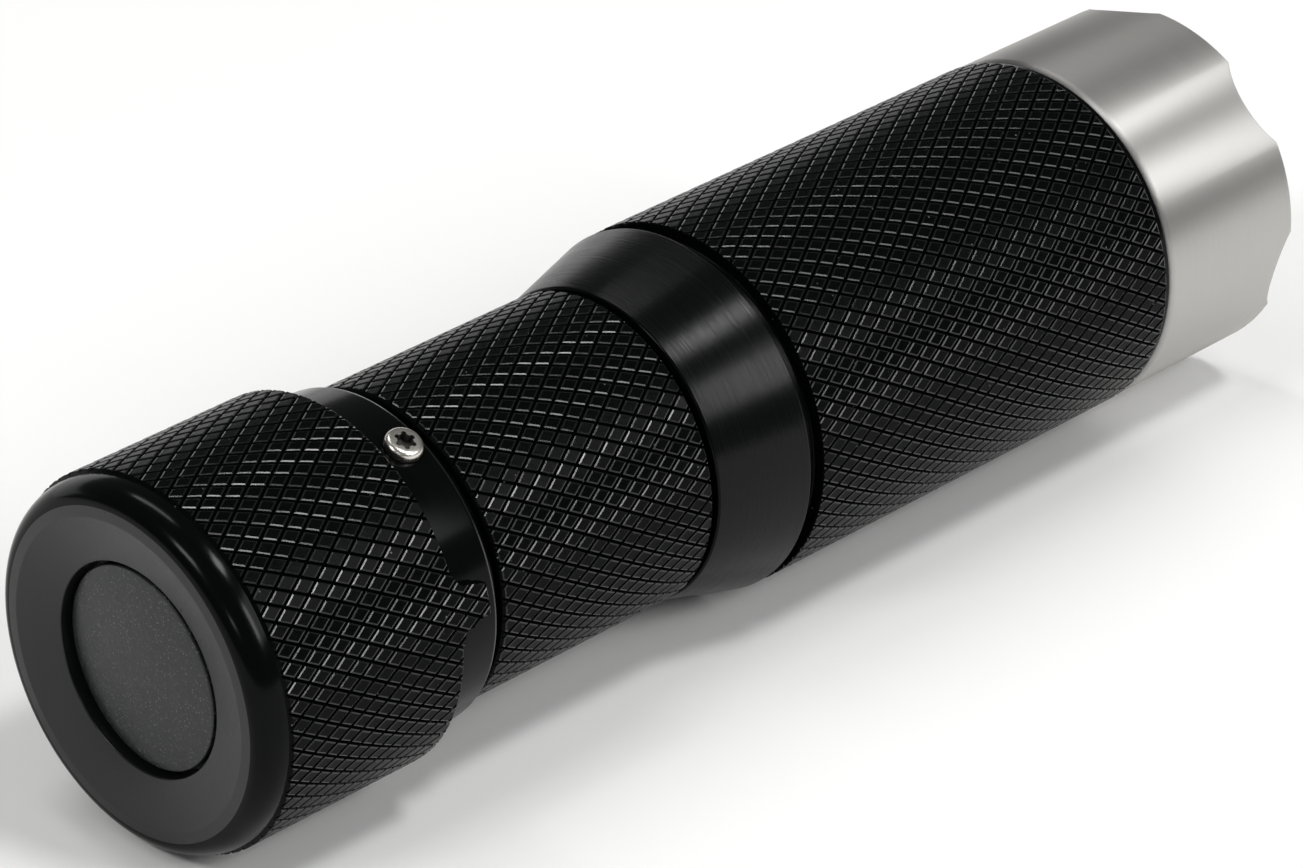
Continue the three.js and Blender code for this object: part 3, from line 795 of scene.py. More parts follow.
# The same skin on cut diamonds: black, their tops finely scored, with a little dust in the grooves.
# The scoring and the dust are drawn several times their size to show
KNURL_BLACK = Speckled(
    "knurled_black_anodised", "black_anodised", "#020303", "#070808",
    roughness=0.22, ior=1.13, grain=0.12, relief=0.02, spread=0.1,
    speck="#8d928e", spacing=1.1, speck_share=0.07, strength=0.6,
)
# Hands rub the edges of the diamonds and of the cap first, so they catch the light as thin bright lines
RUBBED_EDGE = Finish(
    "rubbed_knurl_edges", "black_anodised", "#030404", "#0c0e0d",
    roughness=0.24, ior=1.45, grain=0.2, relief=0.02, spread=0.12,
)
# Stainless steel, turned on a lathe: fine rings that draw reflections out along the axis
TURNED_STEEL = Finish(
    "turned_stainless_steel", "bezel_steel", "#bcbab7", "#c8c7c4",
    roughness=0.49, metallic=1.0, grain=0.09, relief=0.002, marks=Marks.TURNED, anisotropic=0.88,
)
# Stainless steel, cold-headed and tumbled: the palest spot on the neck, with rounded bright edges
SCREW_STEEL = Finish(
    "bright_screw_steel", "screw_steel", "#d2cdc5", "#dedad3",
    roughness=0.27, metallic=1.0, grain=0.2, relief=0.004,
)
# The socket's walls and floor are painted dark: painted shade for the shade in its recess, which shows as a
# dark star in the bright head
SOCKET_PAINTED_SHADE = Finish(
    "oiled_socket_grime", "screw_steel", "#2b2926", "#3c3934",
    roughness=0.5, ior=1.45, grain=0.08, relief=0.006,
)
# Silicone rubber with talc on it: dark charcoal that gleams at a low angle, with fine pale specks.
# The talc's grains are drawn several times their size to show
BUTTON_RUBBER = Speckled(
    "talced_button_rubber", "button_rubber", "#0f1111", "#1f2121",
    roughness=0.38, ior=1.43, grain=0.12, relief=0.04, spread=0.14,
    speck="#7c807e", spacing=0.22, speck_share=0.3, strength=0.6,
)
# Nitrile rubber from a plain mould: dull black that gleams only where it bends
SEAL_RUBBER = Finish(
    "nitrile_seal_rubber", "seal_rubber", "#0e0e0e", "#161616",
    roughness=0.55, ior=1.52, grain=0.25, relief=0.004,
)
# Float glass with a thin coating: hardly seen, with a faint cool tint
LENS_GLASS = Clear(
    "coated_lens_glass", "lens_glass", "#f4f9fb", "#f0f6fa",
    roughness=0.012, ior=1.52, grain=2.0, relief=0.0, spread=0.01,
)
# Clear silicone, cast: a small bright bead, yellow from what lies under it
LED_SILICONE = Clear(
    "clear_led_silicone", "led_phosphor", "#fff6d8", "#fff3cc",
    roughness=0.03, ior=1.41, grain=0.6, relief=0.0005, spread=0.02,
)
# Aluminium, laid down as vapour on lacquer: a mirror with a faint orange-peel
BRIGHT_REFLECTOR = Finish(
    "aluminised_reflector", "reflector_bright", "#e6e8ea", "#eceef0",
    roughness=0.07, metallic=1.0, grain=0.7, relief=0.006, spread=0.03,
)
# Nylon, moulded: white and a little waxy
WHITE_PLASTIC = Finish(
    "moulded_white_plastic", "white_plastic", "#d5d4ce", "#dcdbd6", roughness=0.5, ior=1.49, grain=0.2,
)
# Alumina, fired: white, matt and chalky
LED_CERAMIC = Finish(
    "white_led_ceramic", "led_ceramic", "#e2e0d6", "#ebe9e0", roughness=0.48, ior=1.6, grain=0.1,
)
# Phosphor grains in silicone: flat yellow with a sandy surface, its grains drawn coarser to show
LED_PHOSPHOR = Finish(
    "yellow_led_phosphor", "led_phosphor", "#e2b72c", "#edc945",
    roughness=0.6, ior=1.5, grain=0.06, relief=0.004,
)
# Bare aluminium, turned: pale grey with fine rings
SINK_ALUMINIUM = Finish(
    "turned_sink_aluminium", "heat_sink_aluminium", "#a9acae", "#b6b8ba",
    roughness=0.32, metallic=1.0, grain=0.15, relief=0.003, marks=Marks.TURNED,
)
# Dyed nylon, moulded: deep red, half dull
RED_PLASTIC = Finish(
    "moulded_red_plastic", "red_plastic", "#93201c", "#a02a25", roughness=0.42, ior=1.49, grain=0.25,
)
# ABS with carbon black, moulded: dark grey, half dull
BLACK_PLASTIC = Finish(
    "moulded_black_plastic", "black_plastic", "#191a1b", "#222324", roughness=0.5, ior=1.49, grain=0.2,
)
# Glass-fibre board under green lacquer: its copper tracks show through as paler lines
CIRCUIT_BOARD = Printed(
    "lacquered_circuit_board", "circuit_board", "#1d4a2d", "#2f6a3c", roughness=0.4, ior=1.55, grain=0.3,
)
# Brass, turned: yellow with fine bright rings
CONTACT_BRASS = Finish(
    "turned_contact_brass", "contact_brass", "#bf9a49", "#cba85a",
    roughness=0.28, metallic=1.0, grain=0.15, relief=0.002, marks=Marks.TURNED,
)
# Ferrite powder, pressed and fired: dark brown-grey, dull and a little pitted
PRESSED_FERRITE = Finish(
    "pressed_ferrite", "ferrite", "#3f3b37", "#4a4641",
    roughness=0.65, ior=1.8, grain=0.15, relief=0.008,
)
# Drawn steel with a nickel plate: bright and faintly warm, with soft reflections
CELL_NICKEL = Finish(
    "nickel_plated_cell_steel", "cell_metal", "#bdb9b1", "#c8c4bc", roughness=0.25, metallic=1.0, grain=0.4,
)
# PVC film, shrunk on: blue-grey and glossy, with slow waves
CELL_SLEEVE = Finish(
    "shrunk_cell_sleeve", "cell_sleeve", "#545a61", "#5f656c",
    roughness=0.3, ior=1.53, grain=1.5, relief=0.01,
)


def dress(piece: bpy.types.Object, body: str, finish: Finish, *nodes: str) -> None:
    """Gives a new piece its finish and the body that it rides on, and hides the nodes that it stands for.

    Args:
        piece: The piece.
        body: The body.
        finish: The finish over all of it.
        nodes: The nodes that it replaces.
    """
    piece.data.materials.clear()
    piece.data.materials.append(finish.material())
    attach(piece, body)
    if nodes:
        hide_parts(*nodes)
    log.info("%s: %d faces, on %s, %s", piece.name, len(piece.data.polygons), body, finish.name)


def dress_faces(
    piece: bpy.types.Object, finish: Finish, wanted: Callable[[bpy.types.MeshPolygon], bool],
) -> None:
    """Gives a second finish to the faces that a test accepts.

    Args:
        piece: The piece, already dressed.
        finish: Their finish.
        wanted: The test of a face.
    """
    piece.data.materials.append(finish.material())
    number = len(piece.data.materials) - 1
    for face in piece.data.polygons:
        if wanted(face):
            face.material_index = number


def dress_zone(piece: bpy.types.Object, finish: Finish, within: Callable[[float, float], bool]) -> None:
    """Gives a second finish to the faces whose middles pass a test of their station and radius."""
    dress_faces(piece, finish, lambda face: within(*AXIS.measure(face.center)))


# Sub-assemblies, with sizes in millimetres, angles in degrees and places as stations on the beam axis

# The cap and the head are turned to one radius
BODY_RADIUS = 12.45

# Degrees under which a knurled piece is shaded as one curve: the diamonds' own edges stay crisp
KNURL_SHADING = 14.0


@dataclass
class TailCap:
    """The turning control: a knurled cup with a dished tail face, a smooth lip and one forward tongue."""

    radius: float = BODY_RADIUS
    length: float = 15.2
    button_hole: float = 7.02
    hole_edge: float = 0.1
    dish_radius: float = 10.15
    dish_depth: float = 0.85
    dish_edge: float = 0.06
    land_width: float = 0.72
    land_fall: float = 0.05
    lip_front: float = 1.1
    lip_radius: float = 12.2
    lip_steps: int = 14
    knurl_chamfer: float = 0.2
    front_edge: float = 0.3
    edge: float = 0.15
    wall: float = 1.6
    flange_cavity: float = 8.45
    retainer_seat: float = 3.6
    bore: float = 10.4
    groove_rear: float = 7.2
    groove_front: float = 8.4
    groove_radius: float = 10.85
    skirt_step: float = 12.7
    skirt_bore: float = 11.4
    tongue_angle: float = 77.5
    tongue_tip: float = 17.65
    tongue_waist: float = 16.05
    tongue_tip_width: float = 1.95
    tongue_waist_width: float = 2.8
    tongue_root_width: float = 5.0
    tongue_root: float = 14.0
    tongue_run_out: float = 1.0
    tongue_sweep_steps: int = 8
    cutter_spare: float = 2.0
    rubbed_lean: float = 0.25
    knurl: Knurl = Knurl()

    def build(self, workshop: Workshop) -> bpy.types.Object:
        """Turns the cup, joins its tongue and clips both out of a knurled bar.

        Args:
            workshop: Where it is made.

        Returns:
            The cap.
        """
        outside = self.knurl.outside(self.radius)
        cup = workshop.turned("tail_cap_knurled", [
            Corner(0.0, self.button_hole, self.hole_edge),
            Corner(-self.dish_depth, self.dish_radius, self.dish_edge),
            *self._lip(),
            Corner(self.lip_front + self.knurl_chamfer, outside),
            Corner(self.length, outside, self.front_edge),
            Corner(self.length, self.skirt_bore, self.edge),
            Corner(self.skirt_step, self.skirt_bore),
            Corner(self.skirt_step, self.bore),
            Corner(self.groove_front, self.bore),
            Corner(self.groove_front, self.groove_radius),
            Corner(self.groove_rear, self.groove_radius),
            Corner(self.groove_rear, self.bore),
            Corner(self.retainer_seat, self.bore),
            Corner(self.retainer_seat, self.flange_cavity),
            Corner(self.wall, self.flange_cavity),
            Corner(self.wall, self.button_hole),
        ])
        workshop.work(cup, self._tongue(workshop, outside), Cut.JOIN)
        # The knurl runs out past the tail and the tongue by half a diamond
        run_out = self.knurl.diamond_length / 2
        blank = self.knurl.blank(workshop, self.radius, -run_out, self.tongue_tip + run_out)
        workshop.work(cup, blank, Cut.KEEP_COMMON)
        workshop.shade(cup, KNURL_SHADING)
        return cup

    def _lip(self) -> list[Corner]:
        """Rounds the lip, from the narrow land on the tail to the foot of the knurl.

        Returns:
            Corners along a quarter of an ellipse.
        """
        rear = self.land_fall - self.dish_depth
        inner = self.dish_radius + self.land_width
        return [
            Corner(
                rear + (self.lip_front - rear) * (1 - math.cos(turn)),
                inner + (self.lip_radius - inner) * math.sin(turn),
            )
            for turn in quarter_turn(self.lip_steps)
        ]

    def _tongue(self, workshop: Workshop, outside: float) -> bpy.types.Object:
        """Cuts the tongue out of a longer skirt, by a prism whose flanks sweep in from the root.

        Args:
            workshop: Where it is made.
            outside: Radius over the skirt.

        Returns:
            The tongue.
        """
        skirt = workshop.turned("tongue", [
            Corner(self.tongue_root, self.skirt_bore),
            Corner(self.tongue_root, outside),
            Corner(self.tongue_tip, outside, self.front_edge),
            Corner(self.tongue_tip, self.skirt_bore, self.edge),
        ])
        root, waist, tip = (
            width / 2 for width in (self.tongue_root_width, self.tongue_waist_width, self.tongue_tip_width)
        )
        sweep_length = self.tongue_waist - self.length
        flank = [(self.tongue_root, root)]
        for turn in quarter_turn(self.tongue_sweep_steps):
            flank.append((
                self.length + sweep_length * (1 - math.cos(turn)),
                waist + (root - waist) * (1 - math.sin(turn)),
            ))
        flank.append((self.tongue_tip - self.edge, tip))
        flank.append((self.tongue_tip + self.tongue_run_out, tip - self.edge))
        outline = flank + [(station, -across) for station, across in reversed(flank)]
        prism = workshop.prism("tongue_cutter", outline, self.radius + self.cutter_spare)
        workshop.settle(prism, AXIS.swing(math.radians(self.tongue_angle)))
        workshop.work(skirt, prism, Cut.KEEP_COMMON)
        return skirt

    def dress(self, piece: bpy.types.Object) -> None:
        """Blackens the cap: satin on the tail face and its land, gloss on the lip, dust in the grooves.

        Args:
            piece: The cap.
        """
        dress(piece, "tail_cap", KNURL_BLACK, "tail_cap")
        land = self.dish_radius + self.land_width
        dress_zone(piece, GLOSS_BLACK, lambda station, radius: station < self.lip_front and radius > land)
        dress_zone(piece, SATIN_BLACK, lambda station, radius: station < self.lip_front and radius <= land)
        self.knurl.rub_edges(piece, self.radius)
        dress_faces(piece, RUBBED_EDGE, self._is_front_edge)

    def _is_front_edge(self, face: bpy.types.MeshPolygon) -> bool:
        """Tells the rounded front edges of the skirt and the tongue from the knurl behind them.

        Args:
            face: A face of the cap.

        Returns:
            Whether it is on one of these edges.
        """
        station, radius = AXIS.measure(face.center)
        behind = min(abs(front - station) for front in (self.length, self.tongue_tip))
        forwards = face.normal.x
        outwards = face.normal.dot(AXIS.outwards(face.center))
        leans = min(forwards, outwards) > self.rubbed_lean
        return behind < self.front_edge and radius > self.radius - self.front_edge and leans


@dataclass
class PushButton:
    """The flush rubber button: a shallow dome, seated a little askew, with a flange and a pin behind it."""

    face_radius: float = 6.7
    face_edge: float = 0.12
    face_front: float = 1.5
    inset: float = -0.12
    dome_rise: float = 0.45
    dome_steps: int = 12
    tilt: float = 2.9
    tilt_angle: float = -118.0
    stem_rear: float = 1.1
    stem_radius: float = 6.5
    edge: float = 0.2
    flange_rear: float = 1.7
    flange_front: float = 2.6
    flange_radius: float = 8.15
    pin_radius: float = 2.0
    pin_front: float = 3.5
    steps: int = 128

    def build(self, workshop: Workshop) -> bpy.types.Object:
        """Turns the face and the stem about the beam axis, tilts the face and joins them.

        Args:
            workshop: Where it is made.

        Returns:
            The button.
        """
        shares = [step / self.dome_steps for step in range(self.dome_steps)]
        dome = [
            Corner(self.inset + self.dome_rise * share ** 2, self.face_radius * share) for share in shares
        ]
        rim = self.inset + self.dome_rise
        button = workshop.turned("push_button", dome + [
            Corner(rim, self.face_radius, self.face_edge),
            Corner(self.face_front, self.face_radius),
            Corner(self.face_front, 0.0),
        ], self.steps)
        low_side = AXIS.outwards(AXIS.point(rim, self.face_radius, math.radians(self.tilt_angle)))
        hinge = Vector((1.0, 0.0, 0.0)).cross(low_side)
        tilt = Matrix.Rotation(-math.radians(self.tilt), 4, hinge)
        workshop.settle(button, about(AXIS.point(rim), tilt))
        stem = workshop.turned("button_stem", [
            Corner(self.stem_rear, 0.0),
            Corner(self.stem_rear, self.stem_radius),
            Corner(self.flange_rear, self.stem_radius),
            Corner(self.flange_rear, self.flange_radius, self.edge),
            Corner(self.flange_front, self.flange_radius, self.edge),
            Corner(self.flange_front, self.pin_radius),
            Corner(self.pin_front, self.pin_radius, self.edge),
            Corner(self.pin_front, 0.0),
        ], self.steps)
        workshop.work(button, stem, Cut.JOIN)
        workshop.shade(button)
        return button

    def dress(self, piece: bpy.types.Object) -> None:
        """Moulds the button in talced rubber."""
        dress(piece, "button", BUTTON_RUBBER, "button")


@dataclass
class BatteryTube:
    """The barrel: journal, smooth neck with the stop screw's seat, knurled grip and a cut thread."""

    grip_radius: float = 10.7
    neck_radius: float = 11.2
    journal_radius: float = 10.2
    thread_radius: float = 9.9
    tray_radius: float = 9.2
    bore: float = 8.7
    rear: float = 5.4
    ledge: float = 8.0
    neck_rear: float = 13.0
    neck_front: float = 19.4
    grip_rear: float = 20.15
    grip_front: float = 38.65
    front: float = 47.0
    relief_radius: float = 10.0
    snap_groove: tuple[float, float, float] = (TailCap.groove_rear, TailCap.groove_front, 9.75)
    cap_seal_groove: tuple[float, float, float] = (9.5, 10.7, 9.2)
    head_seal_groove: tuple[float, float, float] = (39.9, 40.9, 9.1)
    edge: float = 0.25
    neck_shoulder: float = 0.6
    lip: float = 0.45
    screw_angle: float = 25.0
    screw_station: float = 17.6
    seat_radius: float = 10.95
    seat_bore: float = 1.32
    hole_bore: float = 0.9
    hole_bottom: float = 9.45
    drill_spare: float = 2.0
    drill_sides: int = 48
    thread_pitch: float = 1.0
    thread_depth: float = 0.45
    thread_rear: float = 41.6
    thread_half_mouth: float = 0.44
    thread_half_floor: float = 0.06
    thread_overcut: float = 0.1
    thread_steps: int = 72
    knurl: Knurl = Knurl()

    def build(self, workshop: Workshop) -> bpy.types.Object:
        """Turns the barrel out of a knurled bar, sinks the screw's seat and cuts the thread.

        Args:
            workshop: Where it is made.

        Returns:
            The barrel.
        """
        outside = self.knurl.outside(self.grip_radius)
        barrel = workshop.turned("battery_tube_knurled", [
            Corner(self.rear, self.tray_radius),
            Corner(self.rear, self.journal_radius, self.edge),
            *self._groove(self.snap_groove, self.journal_radius),
            *self._groove(self.cap_seal_groove, self.journal_radius),
            Corner(self.neck_rear, self.journal_radius),
            Corner(self.neck_rear, self.neck_radius),
            Corner(self.neck_front, self.neck_radius, self.neck_shoulder),
            Corner(self.neck_front, self.relief_radius, self.edge),
            Corner(self.grip_rear, self.relief_radius, self.edge),
            Corner(self.grip_rear, outside, self.lip),
            Corner(self.grip_front, outside, self.lip),
            Corner(self.grip_front, self.thread_radius),
            *self._groove(self.head_seal_groove, self.thread_radius),
            Corner(self.front, self.thread_radius, self.edge),
            Corner(self.front, self.bore),
            Corner(self.ledge, self.bore),
            Corner(self.ledge, self.tray_radius),
        ])
        # The knurl runs out past both ends of the grip by a quarter of a diamond
        run_out = self.knurl.diamond_length / 4
        knurl_rear, knurl_front = self.grip_rear - run_out, self.grip_front + run_out
        blank = self.knurl.blank(workshop, self.grip_radius, knurl_rear, knurl_front)
        workshop.work(barrel, blank, Cut.KEEP_COMMON)
        turn = AXIS.swing(math.radians(self.screw_angle))
        top = self.neck_radius + self.drill_spare
        for bore, bottom in ((self.seat_bore, self.seat_radius), (self.hole_bore, self.hole_bottom)):
            drill = workshop.upright(bore, bottom, top, self.screw_station, self.drill_sides)
            workshop.settle(drill, turn)
            workshop.work(barrel, drill, Cut.CUT)
        workshop.work(barrel, self._thread_cutter(workshop), Cut.CUT)
        workshop.shade(barrel, KNURL_SHADING)
        return barrel

    @staticmethod
    def _groove(groove: tuple[float, float, float], radius: float) -> list[Corner]:
        """Returns the four corners of a square groove (rear, front, floor radius) in a plain stretch."""
        rear, front, floor = groove
        return [Corner(rear, radius), Corner(rear, floor), Corner(front, floor), Corner(front, radius)]

    def _thread_cutter(self, workshop: Workshop) -> bpy.types.Object:
        """Winds a V section round the axis, one pitch a turn, until it runs out of the tube's front end.

        Args:
            workshop: Where it is made.

        Returns:
            The cutter, a closed solid.
        """
        # The winding goes round the X axis of the frame, so the cutter is made there and then raised
        level = BeamAxis(AXIS.tail_x, 0.0)
        mouth = self.thread_radius + self.thread_overcut
        floor = self.thread_radius - self.thread_depth
        section = [
            (-self.thread_half_mouth, mouth),
            (-self.thread_half_floor, floor),
            (self.thread_half_floor, floor),
            (self.thread_half_mouth, mouth),
        ]
        points = [level.point(self.thread_rear + along, radius) for along, radius in section]
        cutter = workshop.wire("thread_cutter", points, True)
        workshop.take_up(cutter)
        turns = math.ceil((self.front - self.thread_rear) / self.thread_pitch) + 1
        wind = cutter.modifiers.new("wind", "SCREW")
        wind.axis = "X"
        wind.angle = 2 * math.pi
        wind.screw_offset = self.thread_pitch * MM
        wind.iterations = turns
        wind.steps = self.thread_steps
        wind.render_steps = self.thread_steps
        wind.use_merge_vertices = True
        wind.merge_threshold = WELD
        bpy.ops.object.modifier_apply(modifier=wind.name)
        workshop.open_up(cutter, MeshPart.VERT)
        bpy.ops.mesh.select_all(action="SELECT")
        bpy.ops.mesh.remove_doubles(threshold=WELD)
        bpy.ops.mesh.fill_holes(sides=len(section))
        workshop.close_up()
        workshop.settle(cutter, Matrix.Translation((0.0, 0.0, AXIS.height)))
        return cutter

    def dress(self, piece: bpy.types.Object) -> None:
        """Blackens the tube, with gloss on the neck, the lip and the hidden turned faces.

        Args:
            piece: The tube.
        """
        dress(piece, "battery_tube", KNURL_BLACK, "battery_tube")
        dress_zone(piece, GLOSS_BLACK, lambda station, radius: (
            station < self.grip_rear or station > self.grip_front - self.lip or radius < self.relief_radius
        ))
        self.knurl.rub_edges(piece, self.grip_radius)


@dataclass
class StopScrew:
    """The small pan-head screw with a six-lobed socket that stops the tail cap's tongue."""

    angle: float = BatteryTube.screw_angle
    station: float = BatteryTube.screw_station
    seat: float = BatteryTube.seat_radius
    head_radius: float = 1.25
    head_height: float = 0.9
    head_rounding: float = 0.4
    head_edge: float = 0.08
    head_rear: float = 0.1
    shank_radius: float = 0.7
    shank_length: float = 1.3
    shank_edge: float = 0.15
    steps: int = 64
    socket_core: float = 0.52
    socket_lobe: float = 0.17
    lobe_circle: float = 0.55
    socket_depth: float = 0.65
    socket_spare: float = 0.5
    core_sides: int = 48
    lobe_sides: int = 20
    # The painted shade in the socket stops this far below the top of the head
    unshaded_mouth: float = 0.03
    lobes: int = 6

    def build(self, workshop: Workshop) -> bpy.types.Object:
        """Turns the screw lying down, stands it on the neck and sinks its socket.

        Args:
            workshop: Where it is made.

        Returns:
            The screw.
        """
        bench = Workshop(BeamAxis(0.0, 0.0))
        screw = bench.turned("stop_screw_head", [
            Corner(-self.shank_length, 0.0),
            Corner(-self.shank_length, self.shank_radius, self.shank_edge),
            Corner(self.head_rear, self.shank_radius),
            Corner(self.head_rear, self.head_radius, self.head_edge),
            Corner(self.head_height, self.head_radius, self.head_rounding),
            Corner(self.head_height, 0.0),
        ], self.steps)
        foot = AXIS.point(self.station, self.seat)
        workshop.settle(screw, Matrix.Translation(foot) @ Matrix.Rotation(-math.pi / 2, 4, "Y"))
        bottom = self.seat + self.head_height - self.socket_depth
        top = self.seat + self.head_height + self.socket_spare
        socket = workshop.upright(self.socket_core, bottom, top, self.station, self.core_sides)
        workshop.work(screw, socket, Cut.CUT)
        for lobe in range(self.lobes):
            place = self.station + self.lobe_circle
            flute = workshop.upright(self.socket_lobe, bottom, top, place, self.lobe_sides)
            turn = Matrix.Rotation(2 * math.pi * lobe / self.lobes, 4, "Z")
            workshop.settle(flute, about(foot, turn))
            workshop.work(screw, flute, Cut.CUT)
        workshop.settle(screw, AXIS.swing(math.radians(self.angle)))
        workshop.shade(screw)
        return screw

    def dress(self, piece: bpy.types.Object) -> None:
        """Leaves the screw in bright steel, with painted shade in its socket.

        Args:
            piece: The screw.
        """
        dress(piece, "battery_tube", SCREW_STEEL, "stop_screw")
        foot = AXIS.point(self.station, self.seat, math.radians(self.angle))
        upright = AXIS.outwards(foot)
        reach = (self.lobe_circle + self.socket_lobe) * MM
        mouth = (self.head_height - self.unshaded_mouth) * MM

        def in_socket(face: bpy.types.MeshPolygon) -> bool:
            """Tells the socket's faces from the head's.

            Args:
                face: A face of the screw.

            Returns:
                Whether it is on the socket's walls or its floor.
            """
            offset = face.center - foot
            height = offset.dot(upright)
            return 0.0 < height < mouth and (offset - upright * height).length < reach

        # The socket's faces take a dark colour that is painted shade, not a colour of the steel
        dress_faces(piece, SOCKET_PAINTED_SHADE, in_socket)


@dataclass
class HeadShell:
    """The head: brushed cone, dark groove, long knurled grip and a plain collar."""

    radius: float = BODY_RADIUS
    rear: float = 39.0
    rear_radius: float = BatteryTube.grip_radius
    cone_front: float = 45.7
    groove_radius: float = 11.55
    grip_rear: float = 46.85
    grip_front: float = 80.5
    collar_radius: float = 12.25
    front: float = 81.0
    edge: float = 0.15
    cone_edge: float = 0.2
    tooth_edge: float = 0.12
    grip_edge: float = 0.05
    thread_bore: float = 10.1
    insert_bore: float = 11.37
    counterbore_rear: float = 74.8
    main_bore: float = 10.8
    deck_rear: float = 47.4
    deck_front: float = 49.4
    deck_hole: float = 7.2
    knurl: Knurl = Knurl()

    def build(self, workshop: Workshop) -> bpy.types.Object:
        """Turns the shell out of a bar that is knurled along the grip.

        Args:
            workshop: Where it is made.

        Returns:
            The shell.
        """
        outside = self.knurl.outside(self.radius)
        shell = workshop.turned("head_shell_knurled", [
            Corner(self.rear, self.thread_bore, self.edge),
            Corner(self.rear, self.rear_radius, self.edge),
            Corner(self.cone_front, self.radius, self.cone_edge),
            Corner(self.cone_front, self.groove_radius, self.edge),
            Corner(self.grip_rear, self.groove_radius, self.edge),
            Corner(self.grip_rear, outside, self.tooth_edge),
            Corner(self.grip_front, outside, self.grip_edge),
            Corner(self.grip_front, self.collar_radius),
            Corner(self.front, self.collar_radius, self.edge),
            Corner(self.front, self.insert_bore),
            Corner(self.counterbore_rear, self.insert_bore),
            Corner(self.counterbore_rear, self.main_bore),
            Corner(self.deck_front, self.main_bore),
            Corner(self.deck_front, self.deck_hole),
            Corner(self.deck_rear, self.deck_hole),
            Corner(self.deck_rear, self.thread_bore),
        ])
        blank = self.knurl.blank(workshop, self.radius, self._mid_groove(), self.grip_front)
        workshop.work(shell, blank, Cut.KEEP_COMMON)
        workshop.shade(shell, KNURL_SHADING)
        return shell

    def _mid_groove(self) -> float:
        """Returns the station in the middle of the dark groove, between the cone and the grip."""
        return (self.cone_front + self.grip_rear) / 2

    def dress(self, piece: bpy.types.Object) -> None:
        """Blackens the head, with the cone brushed and the collar glossy.

        Args:
            piece: The shell.
        """
        dress(piece, "head", KNURL_BLACK, "head_shell")
        dress_zone(piece, BRUSHED_BLACK, lambda station, radius: (
            station < self._mid_groove() and radius > self.thread_bore
        ))
        dress_zone(piece, GLOSS_BLACK, lambda station, radius: (
            station > self.grip_front or radius < self.main_bore
        ))
        self.knurl.rub_edges(piece, self.radius)


@dataclass
class StrikeBezel:
    """The flush steel bezel: a turned sleeve whose rim has six shallow scallops."""

    radius: float = 12.37
    rear: float = 81.1
    front: float = 93.8
    chamfer: float = 0.45
    insert_rear: float = 75.8
    insert_radius: float = 11.17
    insert_edge: float = 0.2
    pocket_radius: float = 10.27
    lip_rear: float = 89.4
    lip_front: float = 90.4
    lip_radius: float = 8.97
    lip_edge: float = 0.15
    rim_width: float = 1.4
    rim_edge: float = 0.22
    scallops: int = 6
    scallop_angle: float = 45.0
    scallop_width: float = 6.4
    scallop_depth: float = 1.2
    steps: int = 240
    shading: float = 40.0

    def build(self, workshop: Workshop) -> bpy.types.Object:
        """Turns the sleeve and draws its rim back along each scallop.

        Args:
            workshop: Where it is made.

        Returns:
            The bezel.
        """
        bezel = workshop.turned("strike_bezel_turned", [
            Corner(self.insert_rear, self.pocket_radius),
            Corner(self.insert_rear, self.insert_radius, self.insert_edge),
            Corner(self.rear, self.insert_radius),
            Corner(self.rear, self.radius, self.chamfer),
            Corner(self.front, self.radius, self.rim_edge),
            Corner(self.front, self.radius - self.rim_width, self.rim_edge),
            Corner(self.lip_front, self.lip_radius, self.lip_edge),
            Corner(self.lip_rear, self.lip_radius, self.lip_edge),
            Corner(self.lip_rear, self.pocket_radius),
        ], self.steps)
        workshop.open_up(bezel, MeshPart.VERT)
        step_angle = 2 * math.pi / self.steps
        tolerance = step_angle / 4
        reach = math.asin(self.scallop_width / 2 / self.radius)
        for step in range(math.ceil(reach / step_angle)):
            self._draw_back(bezel, step * step_angle, tolerance)
        workshop.lay_down_all()
        workshop.shade(bezel, self.shading)
        return bezel

    def _draw_back(self, bezel: bpy.types.Object, away: float, tolerance: float) -> None:
        """Draws the rim back where it lies at one angle from the middle of a scallop.

        Args:
            bezel: The bezel, in edit mode.
            away: The angle in radians.
            tolerance: Half the width of the band that is taken.
        """
        half_width = self.scallop_width / 2
        cut_radius = (half_width ** 2 + self.scallop_depth ** 2) / (2 * self.scallop_depth)
        beside = self.radius * math.sin(away)
        drop = self.scallop_depth - cut_radius + math.sqrt(cut_radius ** 2 - beside ** 2)
        inner = self.radius - self.rim_width
        mouth_slope = (inner - self.lip_radius) / (self.front - self.lip_front)
        rim_rear = self.front - 2 * self.rim_edge
        spacing = 2 * math.pi / self.scallops

        def on_rim(vertex: bmesh.types.BMVert) -> bool:
            """Finds the rim at this angle from the middle of the nearest scallop.

            Args:
                vertex: A vertex of the bezel.

            Returns:
                Whether it is there.
            """
            turn = AXIS.turn(vertex.co) - math.radians(self.scallop_angle)
            nearest = abs((turn + spacing / 2) % spacing - spacing / 2)
            return AXIS.measure(vertex.co)[0] > rim_rear and abs(nearest - away) < tolerance

        choose(bezel, MeshPart.VERT, on_rim)
        bpy.ops.transform.translate(value=(-drop * MM, 0.0, 0.0))
        chosen = {vertex.index for vertex in bmesh.from_edit_mesh(bezel.data).verts if vertex.select}
        middle = self.radius - self.rim_width / 2
        choose(bezel, MeshPart.VERT, lambda vertex: (
            vertex.index in chosen and AXIS.measure(vertex.co)[1] < middle
        ))
        narrow = (inner - drop * mouth_slope) / inner
        bpy.ops.transform.resize(value=(1.0, narrow, narrow), center_override=AXIS.point(self.front))

    def dress(self, piece: bpy.types.Object) -> None:
        """Leaves the bezel in turned steel."""
        dress(piece, "head", TURNED_STEEL, "strike_bezel")


